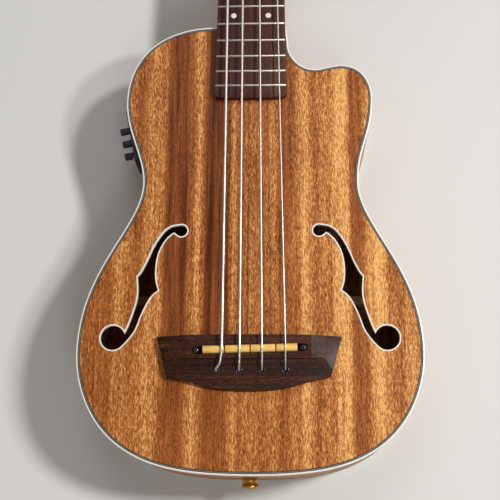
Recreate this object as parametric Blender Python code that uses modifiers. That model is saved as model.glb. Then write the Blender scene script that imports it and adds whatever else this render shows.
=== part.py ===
"""Electro-acoustic bass ukulele with a cutaway, two f-holes, open-gear tuners and a side preamp.

Metres, +Z up. The instrument lies on its flat back: +Y runs from tail to headstock, +X is the
treble side. The origin is on the back, on the centre line, under the line of the saddle.
"""
import math

import bmesh
import bpy
import numpy as np
from mathutils import Matrix, Vector

MM = 0.001
GAP = 0.3 * MM                      # room kept between pieces that are glued or seated

# Scale and neck
SCALE_LENGTH = 530 * MM             # nut to saddle line
JOIN_FRET = 12
JOIN_Y = SCALE_LENGTH * 2 ** (-JOIN_FRET / 12)
LAST_FRET = 16
NUT_WIDTH = 45 * MM
JOIN_WIDTH = 55.3 * MM              # fingerboard width where neck meets body
NUT_THICKNESS = 5 * MM
BOARD_THICKNESS = 5 * MM
BOARD_OVERRUN = 10 * MM             # board beyond the last fret
BOARD_CORNER = 4.5 * MM
FRET_CROWN = 1.0 * MM
FRET_WIDTH = 2.2 * MM
FRET_INSET = 0.4 * MM
NECK_DEPTH_NUT = 15.5 * MM
NECK_DEPTH_HEEL = 18 * MM
HEEL_LENGTH = 20 * MM
HEEL_SWEEP = 46 * MM
HEEL_HALF_WIDTH = 13 * MM
HEEL_CAP_THICKNESS = 2.5 * MM
BAR_WIDTH = 6 * MM
BAR_DEPTH = 8 * MM
BAR_END_MARGIN = 16 * MM

# Body outline, half widths from the centre line; the upper bout is placed from the neck joint
TAIL_Y = -94 * MM
CORNER_X = 92 * MM
CORNER_Y = -76 * MM
LOWER_X = 130.3 * MM
LOWER_Y = -3.3 * MM
WAIST_X = 84.4 * MM
WAIST_Y = JOIN_Y - 134.6 * MM
UPPER_X = 100 * MM
UPPER_Y = JOIN_Y - 66 * MM
TREBLE_X = 97 * MM
TREBLE_Y = JOIN_Y - 62.3 * MM
HORN_X = 71.9 * MM
HORN_Y = JOIN_Y - 34.8 * MM
CUTAWAY_X = 52.1 * MM
CUTAWAY_Y = JOIN_Y - 38.2 * MM
THROAT_X = 30.2 * MM
THROAT_Y = JOIN_Y - 17.6 * MM
SHOULDER_X = 28.5 * MM

# Body plates
BODY_DEPTH = 72 * MM
TOP_THICKNESS = 3 * MM
BACK_THICKNESS = 3 * MM
SIDE_THICKNESS = 2.4 * MM
BINDING_WIDTH = 1.3 * MM
BINDING_HEIGHT = 5 * MM
PURFLING_WIDTH = 1.8 * MM
PURFLING_DEPTH = 1.4 * MM
LINING_WIDTH = 6 * MM
LINING_HEIGHT = 12 * MM
LINING_LIP = 4 * MM
BLOCK_LENGTH = 38 * MM
NECK_BLOCK_LEFT = 28 * MM
NECK_BLOCK_RIGHT = 19 * MM
TAIL_BLOCK_WIDTH = 54 * MM
TAIL_BLOCK_LENGTH = 14 * MM
BRACE_WIDTH = 7 * MM
BRACE_HEIGHT = 11 * MM
BRACE_TIP = 4 * MM
TONE_BAR_LOW_Y = -72 * MM
TONE_BAR_SLANT = 5.9                # degrees towards the centre line as it goes up
TONE_BAR_ROOM = 2.7 * MM            # beside the pickup lead's hole
PATCH_THICKNESS = 3 * MM
PATCH_BACK_Y = -30 * MM
PATCH_FRONT_Y = 12 * MM

# F-holes: the shape is drawn at 97 mm and scaled to this length
F_HOLE_LENGTH = 97 * MM
F_HOLE_X = 78 * MM
F_HOLE_Y = 49 * MM
F_BINDING = 1.0 * MM

# Bridge, saddles and pickup
BRIDGE_LENGTH = 138 * MM
BRIDGE_DEPTH = 41 * MM
BRIDGE_FRONT_Y = 8 * MM
BRIDGE_HEIGHT = 9 * MM
BRIDGE_TABLE = 46 * MM              # half length of the raised middle
WING_TIP_HEIGHT = 4.2 * MM
SHELF_Y = -9.5 * MM
SHELF_HEIGHT = 7 * MM
SHELF_SLOPE = 8.5                   # degrees
SADDLE_THICKNESS = 5.6 * MM
SADDLE_MID_X = 0.6 * MM
SADDLE_MID_Y = -2.9 * MM
SADDLE_SLANT = 1.6                  # degrees
SADDLE_GAP = 0.9 * MM
SADDLE_HEIGHT = 13.2 * MM           # crown above the soundboard
SLOT_LENGTH = 85.4 * MM
SLOT_FLOOR = 2 * MM
STRIP_THICKNESS = 1.8 * MM
STRIP_WIDTH = 3 * MM
ANCHOR_Y = -18.4 * MM
ANCHOR_HOLE = 2.1 * MM
LEAD_RADIUS = 0.9 * MM
LEAD_BEND = 4.5 * MM                # size of a lead's curves
LEAD_RUN_X = 50 * MM                # leads along the bass side, from the centre line
LEAD_HOLE = 1.5 * MM

# Strings: name, gauge, x at the nut, at the saddle and at the bridge hole
STRINGS = (
    ("e", 2.0 * MM, -18.2 * MM, -19.7 * MM, -24.0 * MM),
    ("a", 1.7 * MM, -6.7 * MM, -6.6 * MM, -7.2 * MM),
    ("d", 1.35 * MM, 4.9 * MM, 9.8 * MM, 9.7 * MM),
    ("g", 1.05 * MM, 16.7 * MM, 27.0 * MM, 27.0 * MM),
)
SADDLE_ENDS = (-34.4 * MM, -17.8 * MM, 1.0 * MM, 19.9 * MM, 36.1 * MM)
NUT_CLEARANCE = 0.6 * MM            # string over the level of the frets at the nut
STRING_TURNS = 2
STRING_TURN_GAP = 0.5 * MM

# Headstock
HEAD_ANGLE = 13                     # degrees back from the neck
HEAD_THICKNESS = 13 * MM
HEAD_LENGTH = 118 * MM
HEAD_HALF_WIDTH = 35.5 * MM
HEAD_END_HALF_WIDTH = 33 * MM
HEAD_BLEND = 14 * MM
VENEER_THICKNESS = 1.6 * MM
FIRST_POST_Y = 0.322 * HEAD_LENGTH
SECOND_POST_Y = 0.712 * HEAD_LENGTH
POST_X = 24.5 * MM

# Tuning machines
POST_RADIUS = 4 * MM
POST_WAIST = 3.4 * MM
POST_HEIGHT = 16 * MM
WINDING_TOP = 11.5 * MM
STRING_HOLE = 1.3 * MM
PLATE_THICKNESS = 1.5 * MM
WHEEL_TEETH = 16
WHEEL_RADIUS = 7 * MM               # pitch radius
WHEEL_THICKNESS = 3 * MM
WHEEL_ADDENDUM = 0.35 * MM
WORM_RADIUS = 2.7 * MM              # pitch radius
WORM_ROOT = 2.0 * MM
WORM_CREST = 3.3 * MM
WORM_TURNS = 2.5
MESH_CLEARANCE = 0.35 * MM
SHAFT_RADIUS = 1.6 * MM
LUG_THICKNESS = 1.4 * MM
LUG_OFFSET = 6.2 * MM
LUG_HALF_WIDTH = 3.2 * MM
KEY_REACH = 24 * MM                 # post axis to the middle of the button
BUTTON_LENGTH = 18 * MM
BUTTON_WIDTH = 14 * MM
BUTTON_THICKNESS = 6.4 * MM

# Preamp in the bass side
PANEL_Y = JOIN_Y - 84.5 * MM
PANEL_Z = 33 * MM
PANEL_LENGTH = 46 * MM
PANEL_HEIGHT = 34 * MM
PANEL_THICKNESS = 2.2 * MM
CASE_MARGIN = 2 * MM
CASE_DEPTH = 30 * MM
CASE_WALL = 1.6 * MM
KNOB_SPACING = 11.3 * MM
KNOB_RADIUS = 3 * MM
KNOB_HEIGHT = 8.6 * MM
KNOB_SHAFT = 1.5 * MM
SHAFT_LENGTH = 7 * MM
KEY_SIZE = 5 * MM
KEY_STAND = 0.9 * MM
KEY_TRAVEL = 0.6 * MM
KEY_X = 16 * MM
TRAY_X = -3.5 * MM
LOWER_ROW = -9.4 * MM
TRAY_WIDTH = 24 * MM
TRAY_HEIGHT = 7.6 * MM
TRAY_DEPTH = 26 * MM
TRAY_LIP = 0.8 * MM
BATTERY_RADIUS = 10 * MM
BATTERY_HEIGHT = 6 * MM

# End jack
JACK_Z = 36 * MM
JACK_RADIUS = 4.7 * MM
JACK_BORE = 3.3 * MM
JACK_BODY_RADIUS = 6.8 * MM
JACK_BODY_LENGTH = 17 * MM
JACK_REACH = 7.5 * MM               # outer end beyond the tail
JACK_BORE_DEPTH = 30 * MM
JACK_FLANGE = 6.4 * MM
JACK_NECK = 5.6 * MM

TOP_Z = BODY_DEPTH
TOP_UNDER = TOP_Z - TOP_THICKNESS - GAP
BACK_INSIDE = BACK_THICKNESS + GAP
BOARD_Z = TOP_Z + GAP
FRET_TOP = BOARD_Z + BOARD_THICKNESS + FRET_CROWN
HEAD_Y = SCALE_LENGTH + NUT_THICKNESS + 2 * GAP
LINING_INSET = SIDE_THICKNESS + GAP
INNER_INSET = LINING_INSET + LINING_WIDTH + GAP
WORM_OFFSET = WHEEL_RADIUS + WORM_RADIUS
WHEEL_Z = -HEAD_THICKNESS - PLATE_THICKNESS - WORM_CREST - 2 * GAP
HEAD_FRAME = Matrix.Translation((0, HEAD_Y, TOP_Z)) @ Matrix.Rotation(-math.radians(HEAD_ANGLE), 4, "X")


# Scene and materials

def clear_scene():
    for old in list(bpy.data.objects):
        bpy.data.objects.remove(old)


clear_scene()
PARTS = bpy.data.collections.new("bass_ukulele")
CUTTERS = bpy.data.collections.new("cutters_and_guides")
bpy.context.scene.collection.children.link(PARTS)
bpy.context.scene.collection.children.link(CUTTERS)

FINISHES = {
    "mahogany": ((0.36, 0.14, 0.045), 0.35, 0),
    "rosewood": ((0.045, 0.022, 0.015), 0.5, 0),
    "cream": ((0.78, 0.74, 0.64), 0.35, 0),
    "purfling": ((0.05, 0.05, 0.05), 0.4, 0),
    "spruce": ((0.55, 0.40, 0.22), 0.6, 0),
    "bone": ((0.72, 0.50, 0.16), 0.4, 0),
    "white_bone": ((0.80, 0.77, 0.68), 0.4, 0),
    "wound_steel": ((0.75, 0.74, 0.72), 0.3, 1),
    "nickel": ((0.70, 0.68, 0.64), 0.25, 1),
    "brass": ((0.65, 0.45, 0.16), 0.3, 1),
    "aluminium": ((0.70, 0.71, 0.72), 0.4, 1),
    "black_plastic": ((0.02, 0.02, 0.02), 0.4, 0),
    "black_rubber": ((0.03, 0.03, 0.03), 0.7, 0),
    "cell_steel": ((0.62, 0.62, 0.62), 0.3, 1),
}


def finish_material(name):
    """The material of a finish, made when it is first asked for."""
    found = bpy.data.materials.get(name)
    if found:
        return found
    colour, roughness, metallic = FINISHES[name]
    made = bpy.data.materials.new(name)
    made.use_nodes = True
    shader = made.node_tree.nodes["Principled BSDF"]
    shader.inputs["Base Color"].default_value = (*colour, 1)
    shader.inputs["Roughness"].default_value = roughness
    shader.inputs["Metallic"].default_value = metallic
    return made


# Making and cutting solids

def add_object(name, mesh, finish):
    """Link a mesh as a part, or as a cutter where it has no finish."""
    made = bpy.data.objects.new(name, mesh)
    if finish:
        mesh.materials.append(finish_material(finish))
        PARTS.objects.link(made)
    else:
        made.hide_render = True
        made.display_type = "WIRE"
        CUTTERS.objects.link(made)
    return made


def add_mesh(name, bm, finish):
    bmesh.ops.remove_doubles(bm, verts=bm.verts, dist=1e-7)
    bmesh.ops.recalc_face_normals(bm, faces=bm.faces)
    mesh = bpy.data.meshes.new(name)
    bm.to_mesh(mesh)
    bm.free()
    mesh.shade_smooth()
    mesh.set_sharp_from_angle(angle=math.radians(35))
    return add_object(name, mesh, finish)


def to_mesh(curve_object, name, finish):
    """Turn a curve into a welded mesh at the same place, and remove the curve."""
    bpy.context.view_layer.update()
    graph = bpy.context.evaluated_depsgraph_get()
    mesh = bpy.data.meshes.new_from_object(curve_object.evaluated_get(graph))
    place = curve_object.matrix_world.copy()
    curve = curve_object.data
    bpy.data.objects.remove(curve_object)
    bpy.data.curves.remove(curve)
    bm = bmesh.new()
    bm.from_mesh(mesh)
    bpy.data.meshes.remove(mesh)
    made = add_mesh(name, bm, finish)
    made.matrix_world = place
    return made


def box(name, low, high, finish=None):
    bm = bmesh.new()
    bmesh.ops.create_cube(bm, size=1)
    size = Vector(high) - Vector(low)
    middle = (Vector(high) + Vector(low)) / 2
    bmesh.ops.scale(bm, vec=size, verts=bm.verts)
    bmesh.ops.translate(bm, vec=middle, verts=bm.verts)
    return add_mesh(name, bm, finish)


def cylinder(name, start, end, radius, finish=None, sides=24):
    bm = bmesh.new()
    run = Vector(end) - Vector(start)
    turn = run.to_track_quat("Z", "Y").to_matrix().to_4x4()
    place = Matrix.Translation((Vector(start) + Vector(end)) / 2) @ turn
    bmesh.ops.create_cone(bm, cap_ends=True, segments=sides, radius1=radius, radius2=radius,
                          depth=run.length, matrix=place)
    return add_mesh(name, bm, finish)


def turned(name, profile, finish=None, steps=20):
    """Turn a profile of (radius, height), top to bottom, round the object's own Z axis."""
    bm = bmesh.new()
    verts = [bm.verts.new((radius, 0, height)) for radius, height in profile]
    for upper, lower in zip(verts, verts[1:]):
        bm.edges.new((upper, lower))
    mesh = bpy.data.meshes.new(name)
    bm.to_mesh(mesh)
    bm.free()
    made = add_object(name, mesh, finish)
    screw = made.modifiers.new("turn", "SCREW")
    screw.steps = steps
    screw.render_steps = steps
    screw.use_merge_vertices = True
    screw.merge_threshold = 1e-6
    screw.use_smooth_shade = False
    return made


def plate(name, loops, low, high, finish=None):
    """Extrude flat loops from one height to another; inner loops become holes."""
    curve = bpy.data.curves.new(name, "CURVE")
    curve.dimensions = "2D"
    curve.fill_mode = "BOTH"
    curve.extrude = (high - low) / 2
    for loop in loops:
        spline = curve.splines.new("POLY")
        spline.points.add(len(loop) - 1)
        for point, (x, y) in zip(spline.points, loop):
            point.co = (x, y, 0, 1)
        spline.use_cyclic_u = True
    holder = bpy.data.objects.new(name + "_outline", curve)
    holder.location.z = (low + high) / 2
    PARTS.objects.link(holder)
    made = to_mesh(holder, name, finish)
    settle(made)
    return made


def tube(name, points, radius, finish, resolution=1):
    """A round tube along points, with filled ends."""
    curve = bpy.data.curves.new(name, "CURVE")
    curve.dimensions = "3D"
    curve.bevel_depth = radius
    curve.bevel_resolution = resolution
    curve.use_fill_caps = True
    spline = curve.splines.new("POLY")
    spline.points.add(len(points) - 1)
    for point, place in zip(spline.points, points):
        point.co = (*place, 1)
    made = bpy.data.objects.new(name, curve)
    curve.materials.append(finish_material(finish))
    PARTS.objects.link(made)
    return made


def loft(name, rings, finish=None, closed=False):
    """Skin a run of rings of equal count; an open run is capped at both ends."""
    bm = bmesh.new()
    rows = [[bm.verts.new(point) for point in ring] for ring in rings]
    following = rows[1:] + rows[:1] if closed else rows[1:]
    for low, high in zip(rows, following):
        for a in range(len(low)):
            b = (a + 1) % len(low)
            bm.faces.new((low[a], low[b], high[b], high[a]))
    if not closed:
        bm.faces.new(rows[0])
        bm.faces.new(rows[-1])
    return add_mesh(name, bm, finish)


def settle(made):
    """Write an object's place into its mesh, so that its origin is the world's."""
    made.data.transform(made.matrix_world)
    made.matrix_world = Matrix()


def move(made, place):
    """Set an object by a matrix, with its own origin on the piece's axis."""
    made.matrix_world = place
    return made


def combine(target, others, operation):
    for other in others:
        step = target.modifiers.new(operation.lower(), "BOOLEAN")
        step.operation = operation
        step.object = other


def cut(target, *cutters):
    combine(target, cutters, "DIFFERENCE")


def fuse(target, *pieces):
    combine(target, pieces, "UNION")


def smooth_run(points, steps):
    """Points of a curve that passes evenly through the given points."""
    points = [Vector(p) for p in points]
    ends = [2 * points[0] - points[1], *points, 2 * points[-1] - points[-2]]
    run = []
    for before, start, end, after in zip(ends, ends[1:], ends[2:], ends[3:]):
        for step in range(steps):
            t = step / steps
            run.append(0.5 * (2 * start + t * (end - before)
                              + t * t * (2 * before - 5 * start + 4 * end - after)
                              + t ** 3 * (3 * start - before - 3 * end + after)))
    return [*run, points[-1]]


# Body outline

def outline_knots():
    """Knots anticlockwise from the tail.

    Each has x, y, heading in and out in degrees, curve reach before and after it as a share
    of the straight distance to the next knot, and the number of steps to the next knot.
    """
    return (
        ("tail", 0, TAIL_Y, 0, 0, 0.53, 0.53, 5),
        ("corner_treble", CORNER_X, CORNER_Y, 32, 32, 0.24, 0.43, 6),
        ("lower_treble", LOWER_X, LOWER_Y, 90, 90, 0.25, 0.47, 8),
        ("waist_treble", WAIST_X, WAIST_Y, 90, 90, 0.26, 0.39, 6),
        ("upper_treble", TREBLE_X, TREBLE_Y, 90, 90, 0.45, 0.12, 5),
        ("horn", HORN_X, HORN_Y, 180, 180, 0.61, 0.23, 2),
        ("cutaway", CUTAWAY_X, CUTAWAY_Y, 180, 180, 0.19, 0.51, 5),
        ("throat", THROAT_X, THROAT_Y, 92, 92, 0.19, 0.33, 1),
        ("join_treble", SHOULDER_X, JOIN_Y, 95, 180, 0.33, 0.33, 1),
        ("join_middle", 0, JOIN_Y, 180, 180, 0.33, 0.33, 1),
        ("join_bass", -SHOULDER_X, JOIN_Y, 180, 180, 0.33, 0.52, 7),
        ("upper_bass", -UPPER_X, UPPER_Y, 270, 270, 0.36, 0.35, 5),
        ("waist_bass", -WAIST_X, WAIST_Y, 270, 270, 0.30, 0.26, 8),
        ("lower_bass", -LOWER_X, LOWER_Y, 270, 270, 0.47, 0.25, 6),
        ("corner_bass", -CORNER_X, CORNER_Y, -32, -32, 0.43, 0.24, 5),
    )


def heading(degrees):
    return Vector((math.cos(math.radians(degrees)), math.sin(math.radians(degrees))))


def outline_stations():
    """Points of the outline with their inward normals, and the index of each knot."""
    knots = outline_knots()
    points, normals, marks = [], [], {}
    for knot, after in zip(knots, knots[1:] + knots[:1]):
        start, end = Vector(knot[1:3]), Vector(after[1:3])
        chord = (end - start).length
        ahead = start + heading(knot[4]) * chord * knot[6]
        behind = end - heading(after[3]) * chord * after[5]
        marks[knot[0]] = len(points)
        for step in range(knot[7]):
            t = step / knot[7]
            s = 1 - t
            points.append(start * s ** 3 + ahead * 3 * s * s * t + behind * 3 * s * t * t + end * t ** 3)
            slope = (ahead - start) * s * s + (behind - ahead) * 2 * s * t + (end - behind) * t * t
            slope.normalize()
            inward = Vector((-slope.y, slope.x))
            if step == 0:
                arriving = heading(knot[3])
                other = Vector((-arriving.y, arriving.x))
                inward = (inward + other) / (1 + inward.dot(other))
            normals.append(inward)
    return points, normals, marks


POINTS, NORMALS, MARKS = outline_stations()


def body_ring(inset, height):
    """The outline at a height, moved inwards."""
    return [(*(p + n * inset), height) for p, n in zip(POINTS, NORMALS)]


def around_body(name, section, finish, start=None, stop=None):
    """Sweep a section of (inset, height) round the outline, or from one knot to another."""
    if start is None:
        stations = range(len(POINTS))
    else:
        first, last = MARKS[start], MARKS[stop]
        last += len(POINTS) if last <= first else 0
        stations = [index % len(POINTS) for index in range(first, last + 1)]
    rings = [[(*(POINTS[i] + NORMALS[i] * inset), height) for inset, height in section] for i in stations]
    if start is not None:
        rings[0] = shifted(rings[0], rings[1])
        rings[-1] = shifted(rings[-1], rings[-2])
    return loft(name, rings, finish, closed=start is None)


def shifted(ring, towards):
    """Draw an end ring back by half a gap."""
    step = (Vector(towards[0]) - Vector(ring[0])).normalized() * GAP / 2
    return [Vector(point) + step for point in ring]


def edge_crossings(y, inset):
    """The x of the outline's two sides at a given y."""
    ring = body_ring(inset, 0)
    found = []
    for (x0, y0, _), (x1, y1, _) in zip(ring, ring[1:] + ring[:1]):
        if (y0 - y) * (y1 - y) < 0:
            found.append(x0 + (x1 - x0) * (y - y0) / (y1 - y0))
    return min(found), max(found)


# F-holes

def f_hole_points():
    """The bass-side opening, anticlockwise from the notch beside its upper eye, in millimetres
    from the middle of the stem at the drawn length of 97."""
    upper_eye = [(24.9 + 4.6 * math.cos(a), 41.9 + 4.6 * math.sin(a))
                 for a in np.radians(np.linspace(-130, 90, 9))]
    outer_edge = [(16.8, 44.9), (10.8, 39.9), (4.4, 29.6), (-0.4, 18.3), (-4.8, 9.2)]
    outer_stem = [(-7.8, 5.4), (-7.0, -4), (-7.4, -12.5), (-10.3, -23.4), (-13.6, -33)]
    lower_eye = [(-24.9 + 9.3 * math.cos(a), -41.9 + 9.3 * math.sin(a))
                 for a in np.radians(np.linspace(20, 318, 14))]
    inner_stem = [(-15.2, -45.2), (-12.1, -41.3), (-9.1, -36.9), (-4.8, -25.4), (0.2, -14.2), (4.2, -8.6)]
    inner_edge = [(8.1, -5.5), (6.2, 1), (5.5, 8.9), (6.2, 18.9), (8.6, 27.3), (12.7, 34.6), (17.2, 39.2)]
    return upper_eye + outer_edge + outer_stem + lower_eye + inner_stem + inner_edge + [(19.4, 40.5)]


def grown_loop(points, distance):
    """Move a closed anticlockwise loop outwards, leaving out points that fold over."""
    points = [Vector(p) for p in points]
    edges = [(b - a).normalized() for a, b in zip(points, points[1:] + points[:1])]
    grown = []
    for point, arriving, leaving in zip(points, edges[-1:] + edges[:-1], edges):
        first = Vector((arriving.y, -arriving.x))
        second = Vector((leaving.y, -leaving.x))
        reach = (first + second) / max(1 + first.dot(second), 0.35)
        moved = point + reach * distance
        if loop_distance(moved, points) > 0.97 * distance:
            grown.append(moved)
    return grown


def loop_distance(place, points):
    """The distance from a place to a closed loop."""
    nearest = 1.0
    for a, b in zip(points, points[1:] + points[:1]):
        run = b - a
        share = min(max((place - a).dot(run) / run.length_squared, 0), 1)
        nearest = min(nearest, (place - a - run * share).length)
    return nearest


def f_hole_loop(side, growth):
    """One opening's loop, on the bass side (-1) or mirrored to the treble side (1)."""
    unit = F_HOLE_LENGTH / 97
    loop = [Vector((x * unit, y * unit)) for x, y in f_hole_points()]
    if growth:
        loop = grown_loop(loop, growth)
    if side < 0:
        return [(p.x - F_HOLE_X, p.y + F_HOLE_Y) for p in loop]
    return [(F_HOLE_X - p.x, p.y + F_HOLE_Y) for p in reversed(loop)]


# Soundboard, back, sides, bindings and linings

def make_body_shell():
    rabbet = BINDING_WIDTH + GAP
    field = rabbet + PURFLING_WIDTH + GAP
    ledge = TOP_Z - PURFLING_DEPTH - GAP
    soundboard = loft("soundboard", [body_ring(rabbet, TOP_Z - TOP_THICKNESS), body_ring(rabbet, ledge),
                                     body_ring(field, ledge), body_ring(field, TOP_Z)], "mahogany")
    for side, word in ((-1, "bass"), (1, "treble")):
        hole = plate("f_hole_cut_" + word, [f_hole_loop(side, F_BINDING + GAP)],
                     TOP_Z - 2 * TOP_THICKNESS, TOP_Z + TOP_THICKNESS)
        cut(soundboard, hole)
        plate("f_hole_binding_" + word, [f_hole_loop(side, F_BINDING), f_hole_loop(side, 0)],
              TOP_Z - TOP_THICKNESS, TOP_Z, "cream")
    cut(soundboard, lead_hole())
    loft("back", [body_ring(rabbet, 0), body_ring(rabbet, BACK_THICKNESS)], "mahogany")

    around_body("top_binding", ring_section(0, BINDING_WIDTH, TOP_Z - BINDING_HEIGHT, TOP_Z), "cream")
    around_body("back_binding", ring_section(0, BINDING_WIDTH, 0, BINDING_HEIGHT), "cream")
    around_body("top_purfling", ring_section(rabbet, rabbet + PURFLING_WIDTH, TOP_Z - PURFLING_DEPTH, TOP_Z),
                "purfling")

    wall = ring_section(0, SIDE_THICKNESS, BINDING_HEIGHT + GAP, TOP_Z - BINDING_HEIGHT - GAP)
    treble = around_body("side_treble", wall, "mahogany", "tail", "join_middle")
    bass = around_body("side_bass", wall, "mahogany", "join_middle", "tail")
    jack_hole = cylinder("jack_hole", (0, TAIL_Y - 5 * MM, JACK_Z),
                         (0, TAIL_Y + TAIL_BLOCK_LENGTH + 10 * MM, JACK_Z), JACK_RADIUS + GAP)
    cut(treble, jack_hole)
    cut(bass, jack_hole, panel_cutter())

    inner = LINING_INSET + LINING_WIDTH
    around_body("top_lining", [(LINING_INSET, TOP_UNDER), (inner, TOP_UNDER), (inner, TOP_UNDER - LINING_LIP),
                               (LINING_INSET, TOP_UNDER - LINING_HEIGHT)], "spruce", "join_bass", "throat")
    around_body("back_lining", [(LINING_INSET, BACK_INSIDE), (inner, BACK_INSIDE),
                                (inner, BACK_INSIDE + LINING_LIP),
                                (LINING_INSET, BACK_INSIDE + LINING_HEIGHT)], "spruce", "join_bass", "throat")

    end = JOIN_Y - LINING_INSET
    box("neck_block", (-NECK_BLOCK_LEFT, end - BLOCK_LENGTH, BACK_INSIDE),
        (NECK_BLOCK_RIGHT, end, TOP_UNDER), "spruce")
    make_tail_block(jack_hole)


def ring_section(outer, inner, low, high):
    return [(outer, low), (outer, high), (inner, high), (inner, low)]


def make_tail_block(jack_hole):
    """A block between the linings whose outer face follows the tail's curve."""
    half = TAIL_BLOCK_WIDTH / 2
    ring = [Vector(p[:2]) for p in body_ring(LINING_INSET, 0)]
    curve = sorted((p.x, p.y) for p in ring if abs(p.x) < half and p.y < 0)
    inner_y = TAIL_Y + LINING_INSET + TAIL_BLOCK_LENGTH
    loop = [*curve, (curve[-1][0], inner_y), (curve[0][0], inner_y)]
    block = plate("tail_block", [loop], BACK_INSIDE + LINING_HEIGHT + GAP, TOP_UNDER - LINING_HEIGHT - GAP,
                  "spruce")
    cut(block, jack_hole)


# Braces and patch

def cross_brace(name, y, seat, rise):
    """A brace across the body with scooped ends, glued to the plate at the height of its seat."""
    reach = [edge_crossings(y + shift, INNER_INSET) for shift in (-BRACE_WIDTH / 2, BRACE_WIDTH / 2)]
    left, right = max(ends[0] for ends in reach), min(ends[1] for ends in reach)
    scoop = 3 * BRACE_HEIGHT
    profile = [(left, 0), (right, 0), (right, BRACE_TIP), (right - scoop, BRACE_HEIGHT),
               (left + scoop, BRACE_HEIGHT), (left, BRACE_TIP)]
    rings = [[(x, y + shift, seat + rise * h) for x, h in profile] for shift in (-BRACE_WIDTH / 2, BRACE_WIDTH / 2)]
    return loft(name, rings, "spruce")


def brace_line_y():
    """The middle of the cross brace between the f-holes and the waist."""
    return F_HOLE_Y + F_HOLE_LENGTH / 2 + BRACE_WIDTH + 2 * F_BINDING


def tone_bar_x(y):
    """The middle of a tone bar at a given y, as a distance from the centre line."""
    lead_x, lead_y = lead_place()
    beside = abs(lead_x) + LEAD_HOLE + TONE_BAR_ROOM + BRACE_WIDTH / 2
    return beside - (y - lead_y) * math.tan(math.radians(TONE_BAR_SLANT))


def tone_bar(name, side):
    """A bar from the lower bout to the waist brace, scooped at both ends."""
    low_y, high_y = TONE_BAR_LOW_Y, brace_line_y() - BRACE_WIDTH / 2 - GAP
    scoop = 3 * BRACE_HEIGHT
    profile = [(low_y, 0), (high_y, 0), (high_y, BRACE_TIP), (high_y - scoop, BRACE_HEIGHT),
               (low_y + scoop, BRACE_HEIGHT), (low_y, BRACE_TIP)]
    rings = [[(side * tone_bar_x(y) + shift, y, TOP_UNDER - h) for y, h in profile]
             for shift in (-BRACE_WIDTH / 2, BRACE_WIDTH / 2)]
    return loft(name, rings, "spruce")


def make_braces():
    upper_y = (brace_line_y() + JOIN_Y) / 2
    cross_brace("top_brace_upper", upper_y, TOP_UNDER, -1)
    cross_brace("top_brace_waist", brace_line_y(), TOP_UNDER, -1)
    cross_brace("back_brace_upper", upper_y, BACK_INSIDE, 1)
    cross_brace("back_brace_lower", F_HOLE_Y, BACK_INSIDE, 1)
    tone_bar("tone_bar_bass", -1)
    tone_bar("tone_bar_treble", 1)
    half = tone_bar_x(PATCH_FRONT_Y) - BRACE_WIDTH / 2 - GAP
    patch = box("bridge_patch", (-half, PATCH_BACK_Y, TOP_UNDER - PATCH_THICKNESS), (half, PATCH_FRONT_Y, TOP_UNDER),
                "spruce")
    cut(patch, lead_hole())


# Bridge, saddles and pickup

def slant_point(x):
    """The middle of the saddle line at a given x."""
    return SADDLE_MID_Y + (x - SADDLE_MID_X) * math.tan(math.radians(SADDLE_SLANT))


def lead_place():
    x = SADDLE_MID_X - SLOT_LENGTH / 2 + SADDLE_THICKNESS / 2
    return x, slant_point(x)


def lead_hole():
    x, y = lead_place()
    return cylinder("lead_hole", (x, y, TOP_UNDER - 2 * PATCH_THICKNESS), (x, y, TOP_Z + BRIDGE_HEIGHT / 2), LEAD_HOLE,
                    sides=12)


def bridge_outline():
    """Half of the outline is drawn for a base of 138 by 41 and mirrored."""
    along = BRIDGE_LENGTH / 138
    across = BRIDGE_DEPTH / 41
    half = [(0, 0), (35, -0.3), (69, -1), (60.8, -29.6), (58.5, -31.4), (45, -34.2), (35, -37.2), (20, -40), (0, -41)]
    right = [(x * along, BRIDGE_FRONT_Y + y * across) for x, y in half]
    left = [(-x, y) for x, y in right[1:-1]]
    return [*reversed(right), *left]


def make_bridge():
    foot = TOP_Z + GAP
    table = foot + BRIDGE_HEIGHT
    bridge = plate("bridge", [bridge_outline()], foot, table, "rosewood")
    tilt = math.atan2(BRIDGE_HEIGHT - WING_TIP_HEIGHT, BRIDGE_LENGTH / 2 - BRIDGE_TABLE)
    for side in (-1, 1):
        wing = box("wing_cut_bass" if side < 0 else "wing_cut_treble",
                   (0, -BRIDGE_DEPTH, 0), (BRIDGE_LENGTH / 2, BRIDGE_DEPTH, BRIDGE_HEIGHT))
        turn = Matrix.Rotation(tilt, 4, "Y")
        flip = Matrix.Rotation(math.pi, 4, "Z") if side < 0 else Matrix()
        move(wing, Matrix.Translation((side * BRIDGE_TABLE, 0, table)) @ flip @ turn)
        cut(bridge, wing)
    shelf = box("shelf_cut", (-BRIDGE_LENGTH, -2 * BRIDGE_DEPTH, 0), (BRIDGE_LENGTH, 0, 2 * BRIDGE_HEIGHT))
    move(shelf, Matrix.Translation((0, SHELF_Y, foot + SHELF_HEIGHT))
         @ Matrix.Rotation(math.radians(SHELF_SLOPE), 4, "X"))
    slant = Matrix.Translation((SADDLE_MID_X, SADDLE_MID_Y, 0)) @ Matrix.Rotation(math.radians(SADDLE_SLANT), 4, "Z")
    slot = plate("saddle_slot", [slot_loop(SLOT_LENGTH, SADDLE_THICKNESS / 2 + GAP)],
                 foot + SLOT_FLOOR, table + BRIDGE_HEIGHT)
    move(slot, slant)
    cut(bridge, shelf, slot, lead_hole())
    for name, gauge, nut_x, saddle_x, anchor_x in STRINGS:
        cut(bridge, cylinder("anchor_hole_" + name, (anchor_x, ANCHOR_Y, foot + 1 * MM),
                             (anchor_x, ANCHOR_Y, table + BRIDGE_HEIGHT), ANCHOR_HOLE, sides=16))
    make_saddles(foot, slant)


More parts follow.
